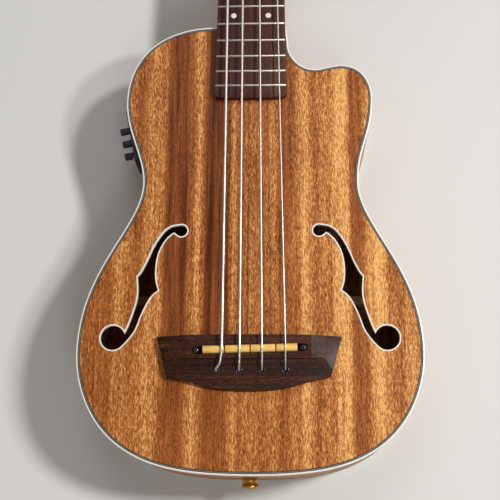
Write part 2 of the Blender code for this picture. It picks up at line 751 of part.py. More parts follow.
def slot_loop(length, half):
    """A slot with round ends, about the origin."""
    run = length / 2 - half
    right = [(run + half * math.cos(a), half * math.sin(a)) for a in np.radians(np.linspace(-90, 90, 9))]
    return right + [(-x, -y) for x, y in right]


def make_saddles(foot, slant):
    """Four blocks on the pickup strip, each with a rounded crown under its string."""
    strip_floor = foot + SLOT_FLOOR + GAP
    seat = strip_floor + STRIP_THICKNESS + GAP
    crown = TOP_Z + SADDLE_HEIGHT
    half = SADDLE_THICKNESS / 2
    section = [(-half, seat), (half, seat), (half, crown - 2.2 * MM), (0.55 * half, crown - 0.7 * MM), (0, crown),
               (-0.55 * half, crown - 0.7 * MM), (-half, crown - 2.2 * MM)]
    for (name, *_), low, high in zip(STRINGS, SADDLE_ENDS, SADDLE_ENDS[1:]):
        ends = (low + SADDLE_GAP / 2 - SADDLE_MID_X, high - SADDLE_GAP / 2 - SADDLE_MID_X)
        block = loft("saddle_" + name, [[(x, y, z) for y, z in section] for x in ends], "bone")
        move(block, slant)
    half_strip = (SADDLE_ENDS[-1] - SADDLE_ENDS[0]) / 2
    strip = box("pickup_strip", (-half_strip, -STRIP_WIDTH / 2, strip_floor),
                (half_strip, STRIP_WIDTH / 2, strip_floor + STRIP_THICKNESS), "brass")
    move(strip, slant)


# Neck, fingerboard, nut and headstock

def board_half_width(y):
    taper = (JOIN_WIDTH - NUT_WIDTH) / 2 / (SCALE_LENGTH - JOIN_Y)
    return NUT_WIDTH / 2 + taper * (SCALE_LENGTH - y)


def neck_section(y, half, top, depth, heel_half, heel_share, head_share):
    """A section of the neck: a round D, blended towards the heel's or the headstock's shape."""
    side = []
    for step in range(7):
        q = step / 6
        turn = math.radians(90) * q
        sink, reach = math.sin(turn), half * math.cos(turn)
        heel_reach = heel_half + (half - heel_half) * (1 - q) ** 2.2
        head_sink = min(2 * q, 1)
        head_reach = half * min(1, 2 - 2 * q)
        sink += heel_share * (q - sink) + head_share * (head_sink - sink)
        reach += heel_share * (heel_reach - reach) + head_share * (head_reach - reach)
        side.append((max(reach, 0.5 * MM), top - depth * sink))
    return [(-x, y, z) for x, z in side] + [(x, y, z) for x, z in reversed(side)]


def neck_rings():
    """Sections from the body joint, over the heel and along the neck into the headstock."""
    start = JOIN_Y + GAP
    rings = []
    for share in (0, 0.3, 0.55, 0.75, 0.9, 1):
        y = start + HEEL_LENGTH * share
        tip = HEEL_HALF_WIDTH * math.sqrt(1 - share ** 2)
        rings.append(neck_section(y, board_half_width(y), TOP_Z, TOP_Z, tip, 1, 0))
    for share in (0.06, 0.16, 0.3, 0.48, 0.7, 1):
        y = start + HEEL_LENGTH + HEEL_SWEEP * share
        depth = NECK_DEPTH_HEEL + (TOP_Z - NECK_DEPTH_HEEL) * (1 - share) ** 2.6
        rings.append(neck_section(y, board_half_width(y), TOP_Z, depth, 0, 1 - share ** 0.5, 0))
    for y in (SCALE_LENGTH - 130 * MM, SCALE_LENGTH - 60 * MM, HEAD_Y):
        rings.append(neck_section(y, board_half_width(y), TOP_Z, neck_depth(y), 0, 0, 0))
    slope = math.tan(math.radians(HEAD_ANGLE))
    rear = HEAD_THICKNESS / math.cos(math.radians(HEAD_ANGLE))
    for share in (0.3, 0.6, 1):
        run = HEAD_BLEND * share
        depth = NECK_DEPTH_NUT + (rear - NECK_DEPTH_NUT) * share
        top = TOP_Z - run * slope - GAP * share
        rings.append(neck_section(HEAD_Y + run, head_half_width(run) - GAP, top, depth - 2 * GAP * share, 0, 0, share))
    return rings


def neck_depth(y):
    share = (y - JOIN_Y) / (HEAD_Y - JOIN_Y)
    return NECK_DEPTH_HEEL + (NECK_DEPTH_NUT - NECK_DEPTH_HEEL) * share


def head_outline():
    """The headstock's outline, flaring from the nut to the first posts."""
    near = NUT_WIDTH / 2
    flare = [(near, 0), (near + 0.6 * MM, 8 * MM), (near + 4 * MM, 15 * MM), (HEAD_HALF_WIDTH - 2 * MM, 21 * MM),
             (HEAD_HALF_WIDTH, 30 * MM), (HEAD_END_HALF_WIDTH, (30 * MM + HEAD_LENGTH) / 2),
             (HEAD_HALF_WIDTH - 1 * MM, HEAD_LENGTH - 16 * MM)]
    return smooth_run(flare, 2)


def head_half_width(run):
    points = head_outline()
    for (x0, y0), (x1, y1) in zip(points, points[1:]):
        if y0 <= run <= y1:
            return x0 + (x1 - x0) * (run - y0) / (y1 - y0)
    return points[-1][0]


def head_loop(start):
    """The headstock as a closed loop from a distance past the nut to its rounded end."""
    side = [(x, y) for x, y in head_outline() if y > start + 0.5 * MM]
    side.insert(0, (head_half_width(start), start))
    end_x, end_y = side[-1]
    crown = [(end_x - 1 * MM, end_y + 6 * MM), (end_x - 5 * MM, end_y + 10 * MM),
             (end_x - 12 * MM, HEAD_LENGTH - 4 * MM), (end_x / 3, HEAD_LENGTH - 1 * MM)]
    right = side + crown
    return right + [(0, HEAD_LENGTH)] + [(-x, y) for x, y in reversed(right)]


def post_places():
    """Side of the headstock and place of each string's post."""
    return {"e": (-1, FIRST_POST_Y), "a": (-1, SECOND_POST_Y), "d": (1, SECOND_POST_Y), "g": (1, FIRST_POST_Y)}


def make_neck():
    neck = loft("neck", neck_rings(), "mahogany")
    head = plate("headstock_plate", [head_loop(HEAD_BLEND * 0.7)], -HEAD_THICKNESS, 0)
    move(head, HEAD_FRAME)
    veneer = plate("headstock_veneer", [head_loop(GAP)], GAP, GAP + VENEER_THICKNESS, "rosewood")
    move(veneer, HEAD_FRAME)
    fuse(neck, head)
    cap_top = HEEL_CAP_THICKNESS
    heel_cut = box("heel_cut", (-JOIN_WIDTH, JOIN_Y - 5 * MM, -5 * MM),
                   (JOIN_WIDTH, JOIN_Y + HEEL_LENGTH + HEEL_SWEEP, cap_top + GAP))
    bar_low, bar_high = JOIN_Y + BAR_END_MARGIN, SCALE_LENGTH - BAR_END_MARGIN
    channel = box("bar_channel", (-BAR_WIDTH / 2 - GAP, bar_low - GAP, TOP_Z - BAR_DEPTH - 2 * GAP),
                  (BAR_WIDTH / 2 + GAP, bar_high + GAP, TOP_Z + 5 * MM))
    cut(neck, heel_cut, channel)
    box("neck_bar", (-BAR_WIDTH / 2, bar_low, TOP_Z - BAR_DEPTH - GAP), (BAR_WIDTH / 2, bar_high, TOP_Z - GAP),
        "aluminium")
    cap = loft("heel_cap", neck_rings()[:12], "rosewood")
    combine(cap, [box("cap_slab", (-JOIN_WIDTH, JOIN_Y - 5 * MM, -5 * MM),
                      (JOIN_WIDTH, JOIN_Y + HEEL_LENGTH + HEEL_SWEEP, cap_top))], "INTERSECT")
    for name, (side, y) in post_places().items():
        hole = cylinder("post_hole_" + name, (side * POST_X, y, -2 * HEAD_THICKNESS),
                        (side * POST_X, y, HEAD_THICKNESS), POST_RADIUS + GAP, sides=16)
        move(hole, HEAD_FRAME)
        cut(neck, hole)
        cut(veneer, hole)


def make_fingerboard():
    last_fret = SCALE_LENGTH * 2 ** (-LAST_FRET / 12)
    end = last_fret - BOARD_OVERRUN
    wide, near = board_half_width(end), NUT_WIDTH / 2
    corner = [(wide - BOARD_CORNER * (1 - math.cos(a)), end + BOARD_CORNER * (1 - math.sin(a)))
              for a in np.radians(np.linspace(0, 90, 5))]
    right = [(near, SCALE_LENGTH), *corner]
    bow = (0, end - 0.6 * MM)
    board = plate("fingerboard", [[*right, bow, *[(-x, y) for x, y in reversed(right)]]], BOARD_Z,
                  BOARD_Z + BOARD_THICKNESS, "rosewood")
    surface = BOARD_Z + BOARD_THICKNESS
    half = FRET_WIDTH / 2
    crown = [(-half, -0.5 * MM), (half, -0.5 * MM), (half, 0.3 * FRET_CROWN), (0.5 * half, FRET_CROWN),
             (-0.5 * half, FRET_CROWN), (-half, 0.3 * FRET_CROWN)]
    for fret in range(1, LAST_FRET + 1):
        y = SCALE_LENGTH * 2 ** (-fret / 12)
        reach = board_half_width(y) - FRET_INSET
        wire = loft("fret_wire_%02d" % fret, [[(x, y + dy, surface + dz) for dy, dz in crown] for x in (-reach, reach)])
        fuse(board, wire)


def string_height(gauge, y):
    """Height of a string's middle between nut and saddle."""
    at_nut = FRET_TOP + NUT_CLEARANCE + gauge / 2
    at_saddle = TOP_Z + SADDLE_HEIGHT + GAP + gauge / 2
    return at_nut + (at_saddle - at_nut) * (SCALE_LENGTH - y) / (SCALE_LENGTH - SADDLE_MID_Y)


def make_nut():
    low = SCALE_LENGTH + GAP
    high = low + NUT_THICKNESS
    half = NUT_WIDTH / 2
    top = FRET_TOP + NUT_CLEARANCE + 1.2 * MM
    nut = loft("nut", [[(x, low, BOARD_Z), (x, high, BOARD_Z), (x, high, top - 1.5 * MM), (x, high - 1.5 * MM, top - 0.4 * MM),
                        (x, low, top)] for x in (-half, half)], "white_bone")
    for name, gauge, nut_x, saddle_x, anchor_x in STRINGS:
        middle = Vector((nut_x, low, string_height(gauge, low)))
        groove = plate("nut_slot_" + name, [slot_loop(8 * gauge + 2 * GAP, gauge / 2 + GAP)],
                       -NUT_THICKNESS, 2 * NUT_THICKNESS)
        turn = Matrix.Rotation(-math.radians(90), 4, "X") @ Matrix.Rotation(math.radians(90), 4, "Z")
        drop = Matrix.Rotation(-math.radians(HEAD_ANGLE / 2), 4, "X")
        lift = Matrix.Translation((0, 0, 3.5 * gauge))
        move(groove, Matrix.Translation(middle) @ drop @ lift @ turn)
        cut(nut, groove)


# Strings

def string_path(name, gauge, nut_x, saddle_x, anchor_x):
    """From the ball end in the bridge, over saddle and nut, to the turns on the post."""
    radius = gauge / 2
    saddle_y = slant_point(saddle_x)
    crown = TOP_Z + SADDLE_HEIGHT + GAP + radius
    foot = TOP_Z + GAP + SHELF_HEIGHT
    path = [Vector((anchor_x, ANCHOR_Y, foot - 4 * MM)), Vector((anchor_x, ANCHOR_Y, foot - 1.5 * MM)),
            Vector((anchor_x, ANCHOR_Y + 0.5 * MM, foot - 0.4 * MM)),
            Vector((anchor_x, ANCHOR_Y + 1.6 * MM, foot + 0.8 * MM)),
            Vector((saddle_x, saddle_y - 1.2 * MM, crown - 0.25 * MM)), Vector((saddle_x, saddle_y + 0.4 * MM, crown))]
    nut_y = SCALE_LENGTH + GAP + 0.5 * MM
    path.append(Vector((nut_x, nut_y, string_height(gauge, nut_y))))
    path.append(Vector((nut_x, nut_y + 2.5 * MM, path[-1].z - 0.25 * MM)))
    return path + winding(name, radius)


def winding(name, radius):
    """Turns on the post, from the string's tangent point at the post's inner side downwards."""
    side, post_y = post_places()[name]
    coil = POST_WAIST + GAP + radius
    pitch = 2 * radius + STRING_TURN_GAP
    steps = 24 * STRING_TURNS
    turns = []
    for step in range(steps + 1):
        angle = 2 * math.pi * step / 24
        x = side * (POST_X - coil * math.cos(angle))
        turns.append(HEAD_FRAME @ Vector((x, post_y + coil * math.sin(angle),
                                          WINDING_TOP - radius - pitch * step / 24)))
    return turns


def least_self_gap(path, radius):
    """The least clear distance between neighbouring turns of a winding."""
    points = np.array([tuple(p) for p in path])
    least = 1.0
    for index in range(len(points) - 12):
        away = np.linalg.norm(points[index + 12:] - points[index], axis=1).min()
        least = min(least, away - 2 * radius)
    return least


def make_strings():
    for name, gauge, nut_x, saddle_x, anchor_x in STRINGS:
        path = string_path(name, gauge, nut_x, saddle_x, anchor_x)
        tube("string_" + name, path, gauge / 2, "wound_steel")
        gap = least_self_gap(winding(name, gauge / 2), gauge / 2)
        print("string_%s: least gap between its turns %.2f mm" % (name, gap / MM))


# Tuning machines

def wheel_loop(turn):
    """Teeth of the gear wheel, with a gap facing -Y when turn is 0."""
    root = WORM_OFFSET - WORM_CREST - MESH_CLEARANCE
    tip = WORM_OFFSET - WORM_ROOT - MESH_CLEARANCE
    pitch = 2 * math.pi / WHEEL_TEETH
    loop = []
    for tooth in range(WHEEL_TEETH):
        middle = -math.pi / 2 + (tooth + 0.5) * pitch + turn
        for share, radius in ((-0.33, root), (-0.13, tip), (0.13, tip), (0.33, root)):
            angle = middle + share * pitch
            loop.append((radius * math.cos(angle), radius * math.sin(angle)))
    return loop


def worm_lead():
    """Advance of the worm in a turn: one tooth of the wheel."""
    return 2 * math.pi * WHEEL_RADIUS / WHEEL_TEETH


def make_post(name, seat):
    """A string post with its wheel: turned stem, waist for the string, wheel and screw head."""
    wheel_low = WHEEL_Z - WHEEL_THICKNESS / 2
    waist_low = GAP + VENEER_THICKNESS + 1.5 * MM
    profile = [(0, POST_HEIGHT), (POST_RADIUS - 0.8 * MM, POST_HEIGHT), (POST_RADIUS, POST_HEIGHT - 0.8 * MM),
               (POST_RADIUS, WINDING_TOP + 1.4 * MM), (POST_WAIST, WINDING_TOP + 0.4 * MM),
               (POST_WAIST, waist_low), (POST_RADIUS, waist_low - 0.5 * MM),
               (POST_RADIUS, WHEEL_Z), (2.6 * MM, WHEEL_Z), (2.6 * MM, wheel_low - 1 * MM),
               (1.8 * MM, wheel_low - 1.6 * MM), (0, wheel_low - 1.6 * MM)]
    post = turned("post_" + name, profile, "nickel", steps=16)
    twist = worm_lead() / (2 * math.pi * WORM_RADIUS) * WHEEL_THICKNESS / WHEEL_RADIUS
    rings = [[(x, y, z) for x, y in wheel_loop(turn)]
             for turn, z in ((-twist / 2, wheel_low), (twist / 2, wheel_low + WHEEL_THICKNESS))]
    wheel = loft("wheel_" + name, rings)
    hole_z = WINDING_TOP - 5 * MM
    hole = cylinder("string_hole_" + name, (0, -2 * POST_RADIUS, hole_z), (0, 2 * POST_RADIUS, hole_z), STRING_HOLE,
                    sides=10)
    for piece in (post, wheel, hole):
        move(piece, seat)
    fuse(post, wheel)
    cut(post, hole)


def worm_thread(name):
    """A helical ridge along X with a trapezoid section, its crest at x = 0 facing +Y."""
    lead = worm_lead()
    steps = 10
    count = int(WORM_TURNS * steps)
    rings = []
    for step in range(count + 1):
        turn = 2 * math.pi * (step - count / 2) / steps
        middle = lead * turn / (2 * math.pi)
        section = [(-0.30, WORM_ROOT - 0.3 * MM), (-0.13, WORM_CREST), (0.13, WORM_CREST), (0.30, WORM_ROOT - 0.3 * MM)]
        rings.append([(middle + share * lead, radius * math.cos(turn), radius * math.sin(turn))
                      for share, radius in section])
    return loft("worm_thread_" + name, rings)


def make_tuner(name, side, post_y):
    seat = HEAD_FRAME @ Matrix.Translation((side * POST_X, post_y, 0))
    make_post(name, seat)
    worm_seat = seat @ Matrix.Translation((0, -WORM_OFFSET, WHEEL_Z))
    if side < 0:
        worm_seat = worm_seat @ Matrix.Rotation(math.pi, 4, "Y")
    make_key(name, worm_seat)
    make_tuner_plate(name, side, seat)


def make_key(name, seat):
    inner = LUG_OFFSET + LUG_THICKNESS + 1 * MM
    collar = LUG_OFFSET + LUG_THICKNESS + GAP
    profile = [(0, KEY_REACH), (2.2 * MM, KEY_REACH), (2.2 * MM, collar), (SHAFT_RADIUS, collar),
               (SHAFT_RADIUS, LUG_OFFSET - GAP), (WORM_ROOT, LUG_OFFSET - GAP), (WORM_ROOT, GAP - LUG_OFFSET),
               (SHAFT_RADIUS, GAP - LUG_OFFSET), (SHAFT_RADIUS, -inner), (0, -inner)]
    key = turned("key_" + name, profile, "nickel", steps=12)
    move(key, seat @ Matrix.Rotation(math.radians(90), 4, "Y"))
    bm = bmesh.new()
    bmesh.ops.create_uvsphere(bm, u_segments=12, v_segments=6, radius=0.5)
    bmesh.ops.scale(bm, vec=(BUTTON_LENGTH, BUTTON_WIDTH, BUTTON_THICKNESS), verts=bm.verts)
    bmesh.ops.translate(bm, vec=(KEY_REACH, 0, 0), verts=bm.verts)
    button = move(add_mesh("button_" + name, bm, None), seat)
    thread = move(worm_thread(name), seat)
    fuse(key, thread, button)


def make_tuner_plate(name, side, seat):
    """Base plate under the headstock with two lugs that carry the worm's shaft."""
    high = -HEAD_THICKNESS - GAP
    low = high - PLATE_THICKNESS
    half = LUG_OFFSET + LUG_THICKNESS
    back = -WORM_OFFSET - LUG_HALF_WIDTH - 2 * MM
    front = POST_RADIUS + 5 * MM
    plate_object = plate("tuner_plate_" + name, [rounded_box((-half, back), (half, front), 2 * MM)], low, high, "nickel")
    move(plate_object, seat)
    hole = move(cylinder("plate_hole_" + name, (0, 0, low - 2 * MM), (0, 0, high + 2 * MM), POST_RADIUS + GAP, sides=16),
                seat)
    bore = move(cylinder("lug_bore_" + name, (-2 * half, -WORM_OFFSET, WHEEL_Z), (2 * half, -WORM_OFFSET, WHEEL_Z),
                         SHAFT_RADIUS + GAP, sides=14), seat)
    for end in (-1, 1):
        lug = box("lug_%s_%s" % (name, "in" if end * side < 0 else "out"),
                  (min(end * LUG_OFFSET, end * half), -WORM_OFFSET - LUG_HALF_WIDTH, WHEEL_Z - LUG_HALF_WIDTH),
                  (max(end * LUG_OFFSET, end * half), -WORM_OFFSET + LUG_HALF_WIDTH, high - PLATE_THICKNESS / 2))
        fuse(plate_object, move(lug, seat))
    cut(plate_object, hole, bore)


def rounded_box(low, high, radius):
    """A rectangle's loop with round corners."""
    loop = []
    for x, y, start in ((high[0], high[1], 0), (low[0], high[1], 90), (low[0], low[1], 180), (high[0], low[1], 270)):
        middle = Vector((x - math.copysign(radius, x - (low[0] + high[0]) / 2),
                         y - math.copysign(radius, y - (low[1] + high[1]) / 2)))
        for angle in np.radians(np.linspace(start, start + 90, 4)):
            loop.append(tuple(middle + Vector((math.cos(angle), math.sin(angle))) * radius))
    return loop


# Preamp

def panel_frame():
    """Frame on the side's outer face: X towards the tail, Y up, Z outwards."""
    half = PANEL_LENGTH / 2
    ends = [Vector((edge_crossings(PANEL_Y + offset, 0)[0], PANEL_Y + offset)) for offset in (-half, half)]
    along = (ends[0] - ends[1]).normalized()
    outward = Vector((along.y, -along.x))
    stand = max(outward.dot(Vector((edge_crossings(PANEL_Y + offset, 0)[0], PANEL_Y + offset)) - ends[0])
                for offset in np.linspace(-half, half, 9))
    middle = (ends[0] + ends[1]) / 2 + outward * (stand + GAP)
    frame = Matrix(((along.x, 0, outward.x, middle.x), (along.y, 0, outward.y, middle.y),
                    (0, 1, 0, PANEL_Z), (0, 0, 0, 1)))
    return frame


PANEL_FRAME = panel_frame()


def panel_cutter():
    """The opening in the side that the preamp case passes through."""
    x, y = PANEL_LENGTH / 2 - CASE_MARGIN + GAP, PANEL_HEIGHT / 2 - CASE_MARGIN + GAP
    return move(box("panel_opening", (-x, -y, -20 * MM), (x, y, 5 * MM)), PANEL_FRAME)


def make_preamp():
    panel = plate("preamp_panel", [rounded_box((-PANEL_LENGTH / 2, -PANEL_HEIGHT / 2),
                                               (PANEL_LENGTH / 2, PANEL_HEIGHT / 2), 3 * MM)],
                  0, PANEL_THICKNESS, "black_plastic")
    move(panel, PANEL_FRAME)
    case_x, case_y = PANEL_LENGTH / 2 - CASE_MARGIN, PANEL_HEIGHT / 2 - CASE_MARGIN
    case = box("preamp_case", (-case_x, -case_y, -CASE_DEPTH), (case_x, case_y, -GAP), "black_plastic")
    move(case, PANEL_FRAME)
    room = box("case_room", (CASE_WALL - case_x, -KNOB_SHAFT - 2 * GAP, CASE_WALL - CASE_DEPTH),
               (case_x - CASE_WALL, case_y - CASE_WALL, 10 * MM))
    cut(case, move(room, PANEL_FRAME))
    for index, word in enumerate(("volume", "bass", "treble")):
        x = (index - 1) * KNOB_SPACING
        make_knob(word + "_knob", x)
        bore = cylinder("bore_" + word, (x, 0, -SHAFT_LENGTH - GAP), (x, 0, 10 * MM), KNOB_SHAFT + GAP, sides=16)
        cut(panel, move(bore, PANEL_FRAME))
    make_tuner_key(panel, case)
    make_battery_tray(panel, case)


def make_knob(name, x):
    low = PANEL_THICKNESS + GAP
    high = low + KNOB_HEIGHT
    profile = [(0, high), (KNOB_RADIUS - 0.5 * MM, high), (KNOB_RADIUS, high - 0.5 * MM), (KNOB_RADIUS, low + 1 * MM),
               (KNOB_RADIUS - 0.6 * MM, low), (KNOB_SHAFT, low), (KNOB_SHAFT, -SHAFT_LENGTH), (0, -SHAFT_LENGTH)]
    knob = turned(name, profile, "black_rubber", steps=18)
    move(knob, PANEL_FRAME @ Matrix.Translation((x, 0, 0)))


def make_tuner_key(panel, case):
    half = KEY_SIZE / 2
    depth = 3 * MM
    key = box("tuner_key", (-half, -half, -depth), (half, half, PANEL_THICKNESS + KEY_STAND), "black_rubber")
    seat = PANEL_FRAME @ Matrix.Translation((KEY_X, LOWER_ROW, 0))
    move(key, seat)
    room = half + GAP
    well = move(box("key_well", (-room, -room, -depth - KEY_TRAVEL - GAP), (room, room, 10 * MM)), seat)
    cut(panel, well)
    cut(case, well)


def make_battery_tray(panel, case):
    """A drawer with a round pocket for two stacked coin cells."""
    half = TRAY_WIDTH / 2
    seat = PANEL_FRAME @ Matrix.Translation((TRAY_X, LOWER_ROW, 0))
    tray = box("battery_tray", (-half, -TRAY_HEIGHT / 2, -TRAY_DEPTH),
               (half, TRAY_HEIGHT / 2, PANEL_THICKNESS + TRAY_LIP), "black_plastic")
    move(tray, seat)
    floor = TRAY_HEIGHT / 2 - BATTERY_HEIGHT - GAP
    middle = -TRAY_DEPTH / 2
    pocket = cylinder("cell_pocket", (0, floor, middle), (0, TRAY_HEIGHT, middle), BATTERY_RADIUS + GAP)
    cut(tray, move(pocket, seat))
    battery = cylinder("battery", (0, floor + GAP, middle), (0, floor + GAP + BATTERY_HEIGHT, middle), BATTERY_RADIUS,
                       "cell_steel")
    move(battery, seat)
    slot = box("tray_slot", (-half - GAP, -TRAY_HEIGHT / 2 - GAP, -TRAY_DEPTH - GAP),
               (half + GAP, TRAY_HEIGHT / 2 + 2 * GAP, 10 * MM))
    move(slot, seat)
    cut(panel, slot)
    cut(case, slot)


# Jack and leads

def make_jack():
    """An end jack: barrel through the tail block, and an outer nut shaped as a strap button."""
    outward = Matrix.Translation((0, TAIL_Y, JACK_Z)) @ Matrix.Rotation(math.radians(90), 4, "X")
    body_top = -(LINING_INSET + TAIL_BLOCK_LENGTH + GAP)
    end = JACK_REACH - 0.8 * MM
    floor = JACK_REACH - JACK_BORE_DEPTH
    bottom = body_top - JACK_BODY_LENGTH
    barrel = turned("jack_barrel", [(0, floor), (JACK_BORE, floor), (JACK_BORE, end), (JACK_RADIUS, end),
                                    (JACK_RADIUS, body_top), (JACK_BODY_RADIUS, body_top),
                                    (JACK_BODY_RADIUS, bottom), (0, bottom)], "nickel", steps=20)
    move(barrel, outward)
    inner = JACK_RADIUS + GAP
    nut = turned("jack_nut", [(inner, GAP), (inner, JACK_REACH), (JACK_FLANGE - 0.6 * MM, JACK_REACH),
                              (JACK_FLANGE, JACK_REACH - 0.8 * MM), (JACK_FLANGE, JACK_REACH - 2.2 * MM),
                              (JACK_NECK, JACK_REACH - 3 * MM), (JACK_NECK, 2.4 * MM), (JACK_FLANGE - 0.4 * MM, 2 * MM),
                              (JACK_FLANGE - 0.4 * MM, GAP), (inner, GAP)], "brass", steps=20)
    move(nut, outward)


def case_entry(x, y):
    """The last two points of a lead that meets the back of the preamp case squarely."""
    return [tuple(PANEL_FRAME @ Vector((x, y, -CASE_DEPTH - room))) for room in (2 * LEAD_BEND, 2 * GAP)]


def make_leads():
    """The pickup's lead to the preamp and the preamp's lead to the jack, both inside the body."""
    x, y = lead_place()
    run = -LEAD_RUN_X
    deep, mid, high = 0.25 * BODY_DEPTH, 0.5 * BODY_DEPTH, 0.66 * BODY_DEPTH
    patch_under = TOP_UNDER - PATCH_THICKNESS
    pickup = smooth_run([(x, y, TOP_Z + GAP + SLOT_FLOOR), (x, y, patch_under), (x, y, patch_under - LEAD_BEND),
                         (x, y + 2 * LEAD_BEND, high + 0.4 * LEAD_BEND), (0.93 * run, 0.4 * WAIST_Y, high),
                         (0.96 * run, 0.77 * WAIST_Y, high - 0.4 * LEAD_BEND), (run, 1.15 * WAIST_Y, mid + LEAD_BEND),
                         *case_entry(-LEAD_BEND, LEAD_BEND)], 3)
    tube("pickup_lead", pickup, LEAD_RADIUS, "black_plastic", 1)
    jack_end = TAIL_Y + LINING_INSET + TAIL_BLOCK_LENGTH + JACK_BODY_LENGTH + 2 * GAP
    jack = smooth_run([(0, jack_end, JACK_Z), (-0.06 * LEAD_RUN_X, jack_end + 1.6 * LEAD_BEND, JACK_Z - 0.4 * LEAD_BEND),
                       (0.6 * run, jack_end + 6 * LEAD_BEND, deep + 0.4 * LEAD_BEND), (run, 0.08 * WAIST_Y, deep),
                       (run, 0.46 * WAIST_Y, deep), (run, 0.92 * WAIST_Y, deep + 0.4 * LEAD_BEND),
                       *case_entry(LEAD_BEND, -LEAD_BEND)], 3)
    tube("jack_lead", jack, LEAD_RADIUS, "black_plastic", 1)


make_body_shell()
make_braces()
make_bridge()
make_neck()
make_fingerboard()
make_nut()
make_strings()
for string, (string_side, string_post_y) in post_places().items():
    make_tuner(string, string_side, string_post_y)
make_preamp()
make_jack()
make_leads()
bpy.context.view_layer.update()
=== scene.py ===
"""Looks of an electro-acoustic bass ukulele lying on its back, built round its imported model."""
import math

import bmesh
import bpy
import numpy as np
from mathutils import Matrix, Vector


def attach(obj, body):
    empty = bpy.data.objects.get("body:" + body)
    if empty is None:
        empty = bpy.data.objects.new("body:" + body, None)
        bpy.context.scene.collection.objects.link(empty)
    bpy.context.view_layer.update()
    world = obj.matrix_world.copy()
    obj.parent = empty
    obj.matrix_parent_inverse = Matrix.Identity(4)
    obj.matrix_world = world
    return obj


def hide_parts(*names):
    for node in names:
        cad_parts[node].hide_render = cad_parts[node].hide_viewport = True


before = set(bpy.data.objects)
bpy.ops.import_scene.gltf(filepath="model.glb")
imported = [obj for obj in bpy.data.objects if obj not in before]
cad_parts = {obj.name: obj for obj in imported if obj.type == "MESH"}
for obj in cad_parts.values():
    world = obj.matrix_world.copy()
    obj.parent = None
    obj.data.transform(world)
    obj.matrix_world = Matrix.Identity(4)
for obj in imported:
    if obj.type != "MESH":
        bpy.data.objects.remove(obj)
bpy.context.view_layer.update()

# Sizes and places are in millimetres: X from the centre line, Y from the end of the string
# scale at the saddle towards the neck, Z from the flat back. The scene itself is in metres.
MM = 0.001

# Camera
# The instrument is seen from 0.8 m above its tail, leaning 16 degrees towards the neck, through
# a lens of about 70 mm on a full-frame body.

camera = bpy.data.objects.new("camera", bpy.data.cameras.new("camera"))
bpy.context.scene.collection.objects.link(camera)
camera.data.sensor_width = 36
camera.data.lens = 70.64
camera.location = Vector((27.36, -127.56, 796.23)) * MM
camera.rotation_euler = (0.273, 0.036, 0.006)
bpy.context.scene.camera = camera
bpy.context.scene.view_settings.view_transform = "Standard"


# Table and studio light
# A pale laminate table in an even white room. A window and a small key lamp on the treble side
# throw the shadows to the bass side, and two wide lamps stand beyond the headstock and the tail.

TABLE_REACH = 8000     # from its middle to its edges


def linear(colour):
    """The linear values of an sRGB hex colour."""
    values = [int(colour[i:i + 2], 16) / 255 for i in (1, 3, 5)]
    return (*[v / 12.92 if v <= 0.04045 else ((v + 0.055) / 1.055) ** 2.4 for v in values], 1)


def set_inputs(node, inputs):
    """Give a node's inputs their values, or link them from sockets or from other nodes."""
    for key, value in inputs.items():
        if isinstance(value, bpy.types.Node):
            value = next(output for output in value.outputs if output.enabled)
        if isinstance(value, bpy.types.NodeSocket):
            node.id_data.links.new(value, node.inputs[key])
        else:
            node.inputs[key].default_value = value


def add_node(tree, kind, inputs=None, **settings):
    """A node with its settings and inputs; its kind is given without the word ShaderNode.

    Inputs 6 and 7 of a Mix node are its colours, 1 to 4 of a MapRange node its old and new ends.
    """
    made = tree.nodes.new("ShaderNode" + kind)
    for setting, value in settings.items():
        setattr(made, setting, value)
    set_inputs(made, inputs or {})
    return made


def new_finish(name, surface):
    """A material whose shader starts from the given surface values."""
    made = bpy.data.materials.new(name)
    made.use_nodes = True
    shader = made.node_tree.nodes["Principled BSDF"]
    set_inputs(shader, surface)
    return made, made.node_tree, shader


# matt laminate: a flat warm grey that takes soft shadows and mirrors nothing
laminate = new_finish("pale_laminate", {"Base Color": linear("#CCCAC6"), "Roughness": 0.75})[0]


def set_table():
    bm = bmesh.new()
    bmesh.ops.create_grid(bm, x_segments=1, y_segments=1, size=TABLE_REACH * MM)
    mesh = bpy.data.meshes.new("table_top")
    bm.to_mesh(mesh)
    bm.free()
    mesh.materials.append(laminate)
    top = bpy.data.objects.new("table_top", mesh)
    top.location.z = -0.2 * MM
    bpy.context.scene.collection.objects.link(top)


def paint_room():
    """White all round: half bright where it is seen, and dimmer as light on the instrument."""
    world = bpy.data.worlds.new("white_room")
    bpy.context.scene.world = world
    world.use_nodes = True
    room = world.node_tree
    seen = add_node(room, "LightPath").outputs["Is Camera Ray"]
    strength = add_node(room, "MapRange", {0: seen, 3: 0.3, 4: 0.52})
    set_inputs(room.nodes["Background"], {"Color": (1, 1, 1, 1), "Strength": strength})


def aimed_light(name, kind, place, energy):
    """A light at a place, turned towards the middle of the body."""
    light = bpy.data.objects.new(name, bpy.data.lights.new(name, kind))
    light.data.energy = energy
    light.location = Vector(place) * MM
    light.rotation_euler = (Vector(place) - Vector((0, 80, 70))).to_track_quat("Z", "Y").to_euler()
    bpy.context.scene.collection.objects.link(light)
    return light.data


def set_lights():
    aimed_light("window_light", "SUN", (900, 300, 1160), 1.45).angle = 0.1
    for name, place, width, power in (("key_lamp", (620, 120, 840), 100, 4.6),
                                      ("top_lamp", (-100, 1200, 1900), 1000, 5),
                                      ("tail_lamp", (350, -900, 1400), 400, 3.2)):
        lamp = aimed_light(name, "AREA", place, power)
        lamp.shape = "DISK"
        lamp.size = width * MM


set_table()
paint_room()
set_lights()


# Soundboard
# Two mahogany plates, 3 mm thick, jointed on the centre line and cut for the f-holes. The
# edge is rebated for the purfling, and the face has a thin satin lacquer.

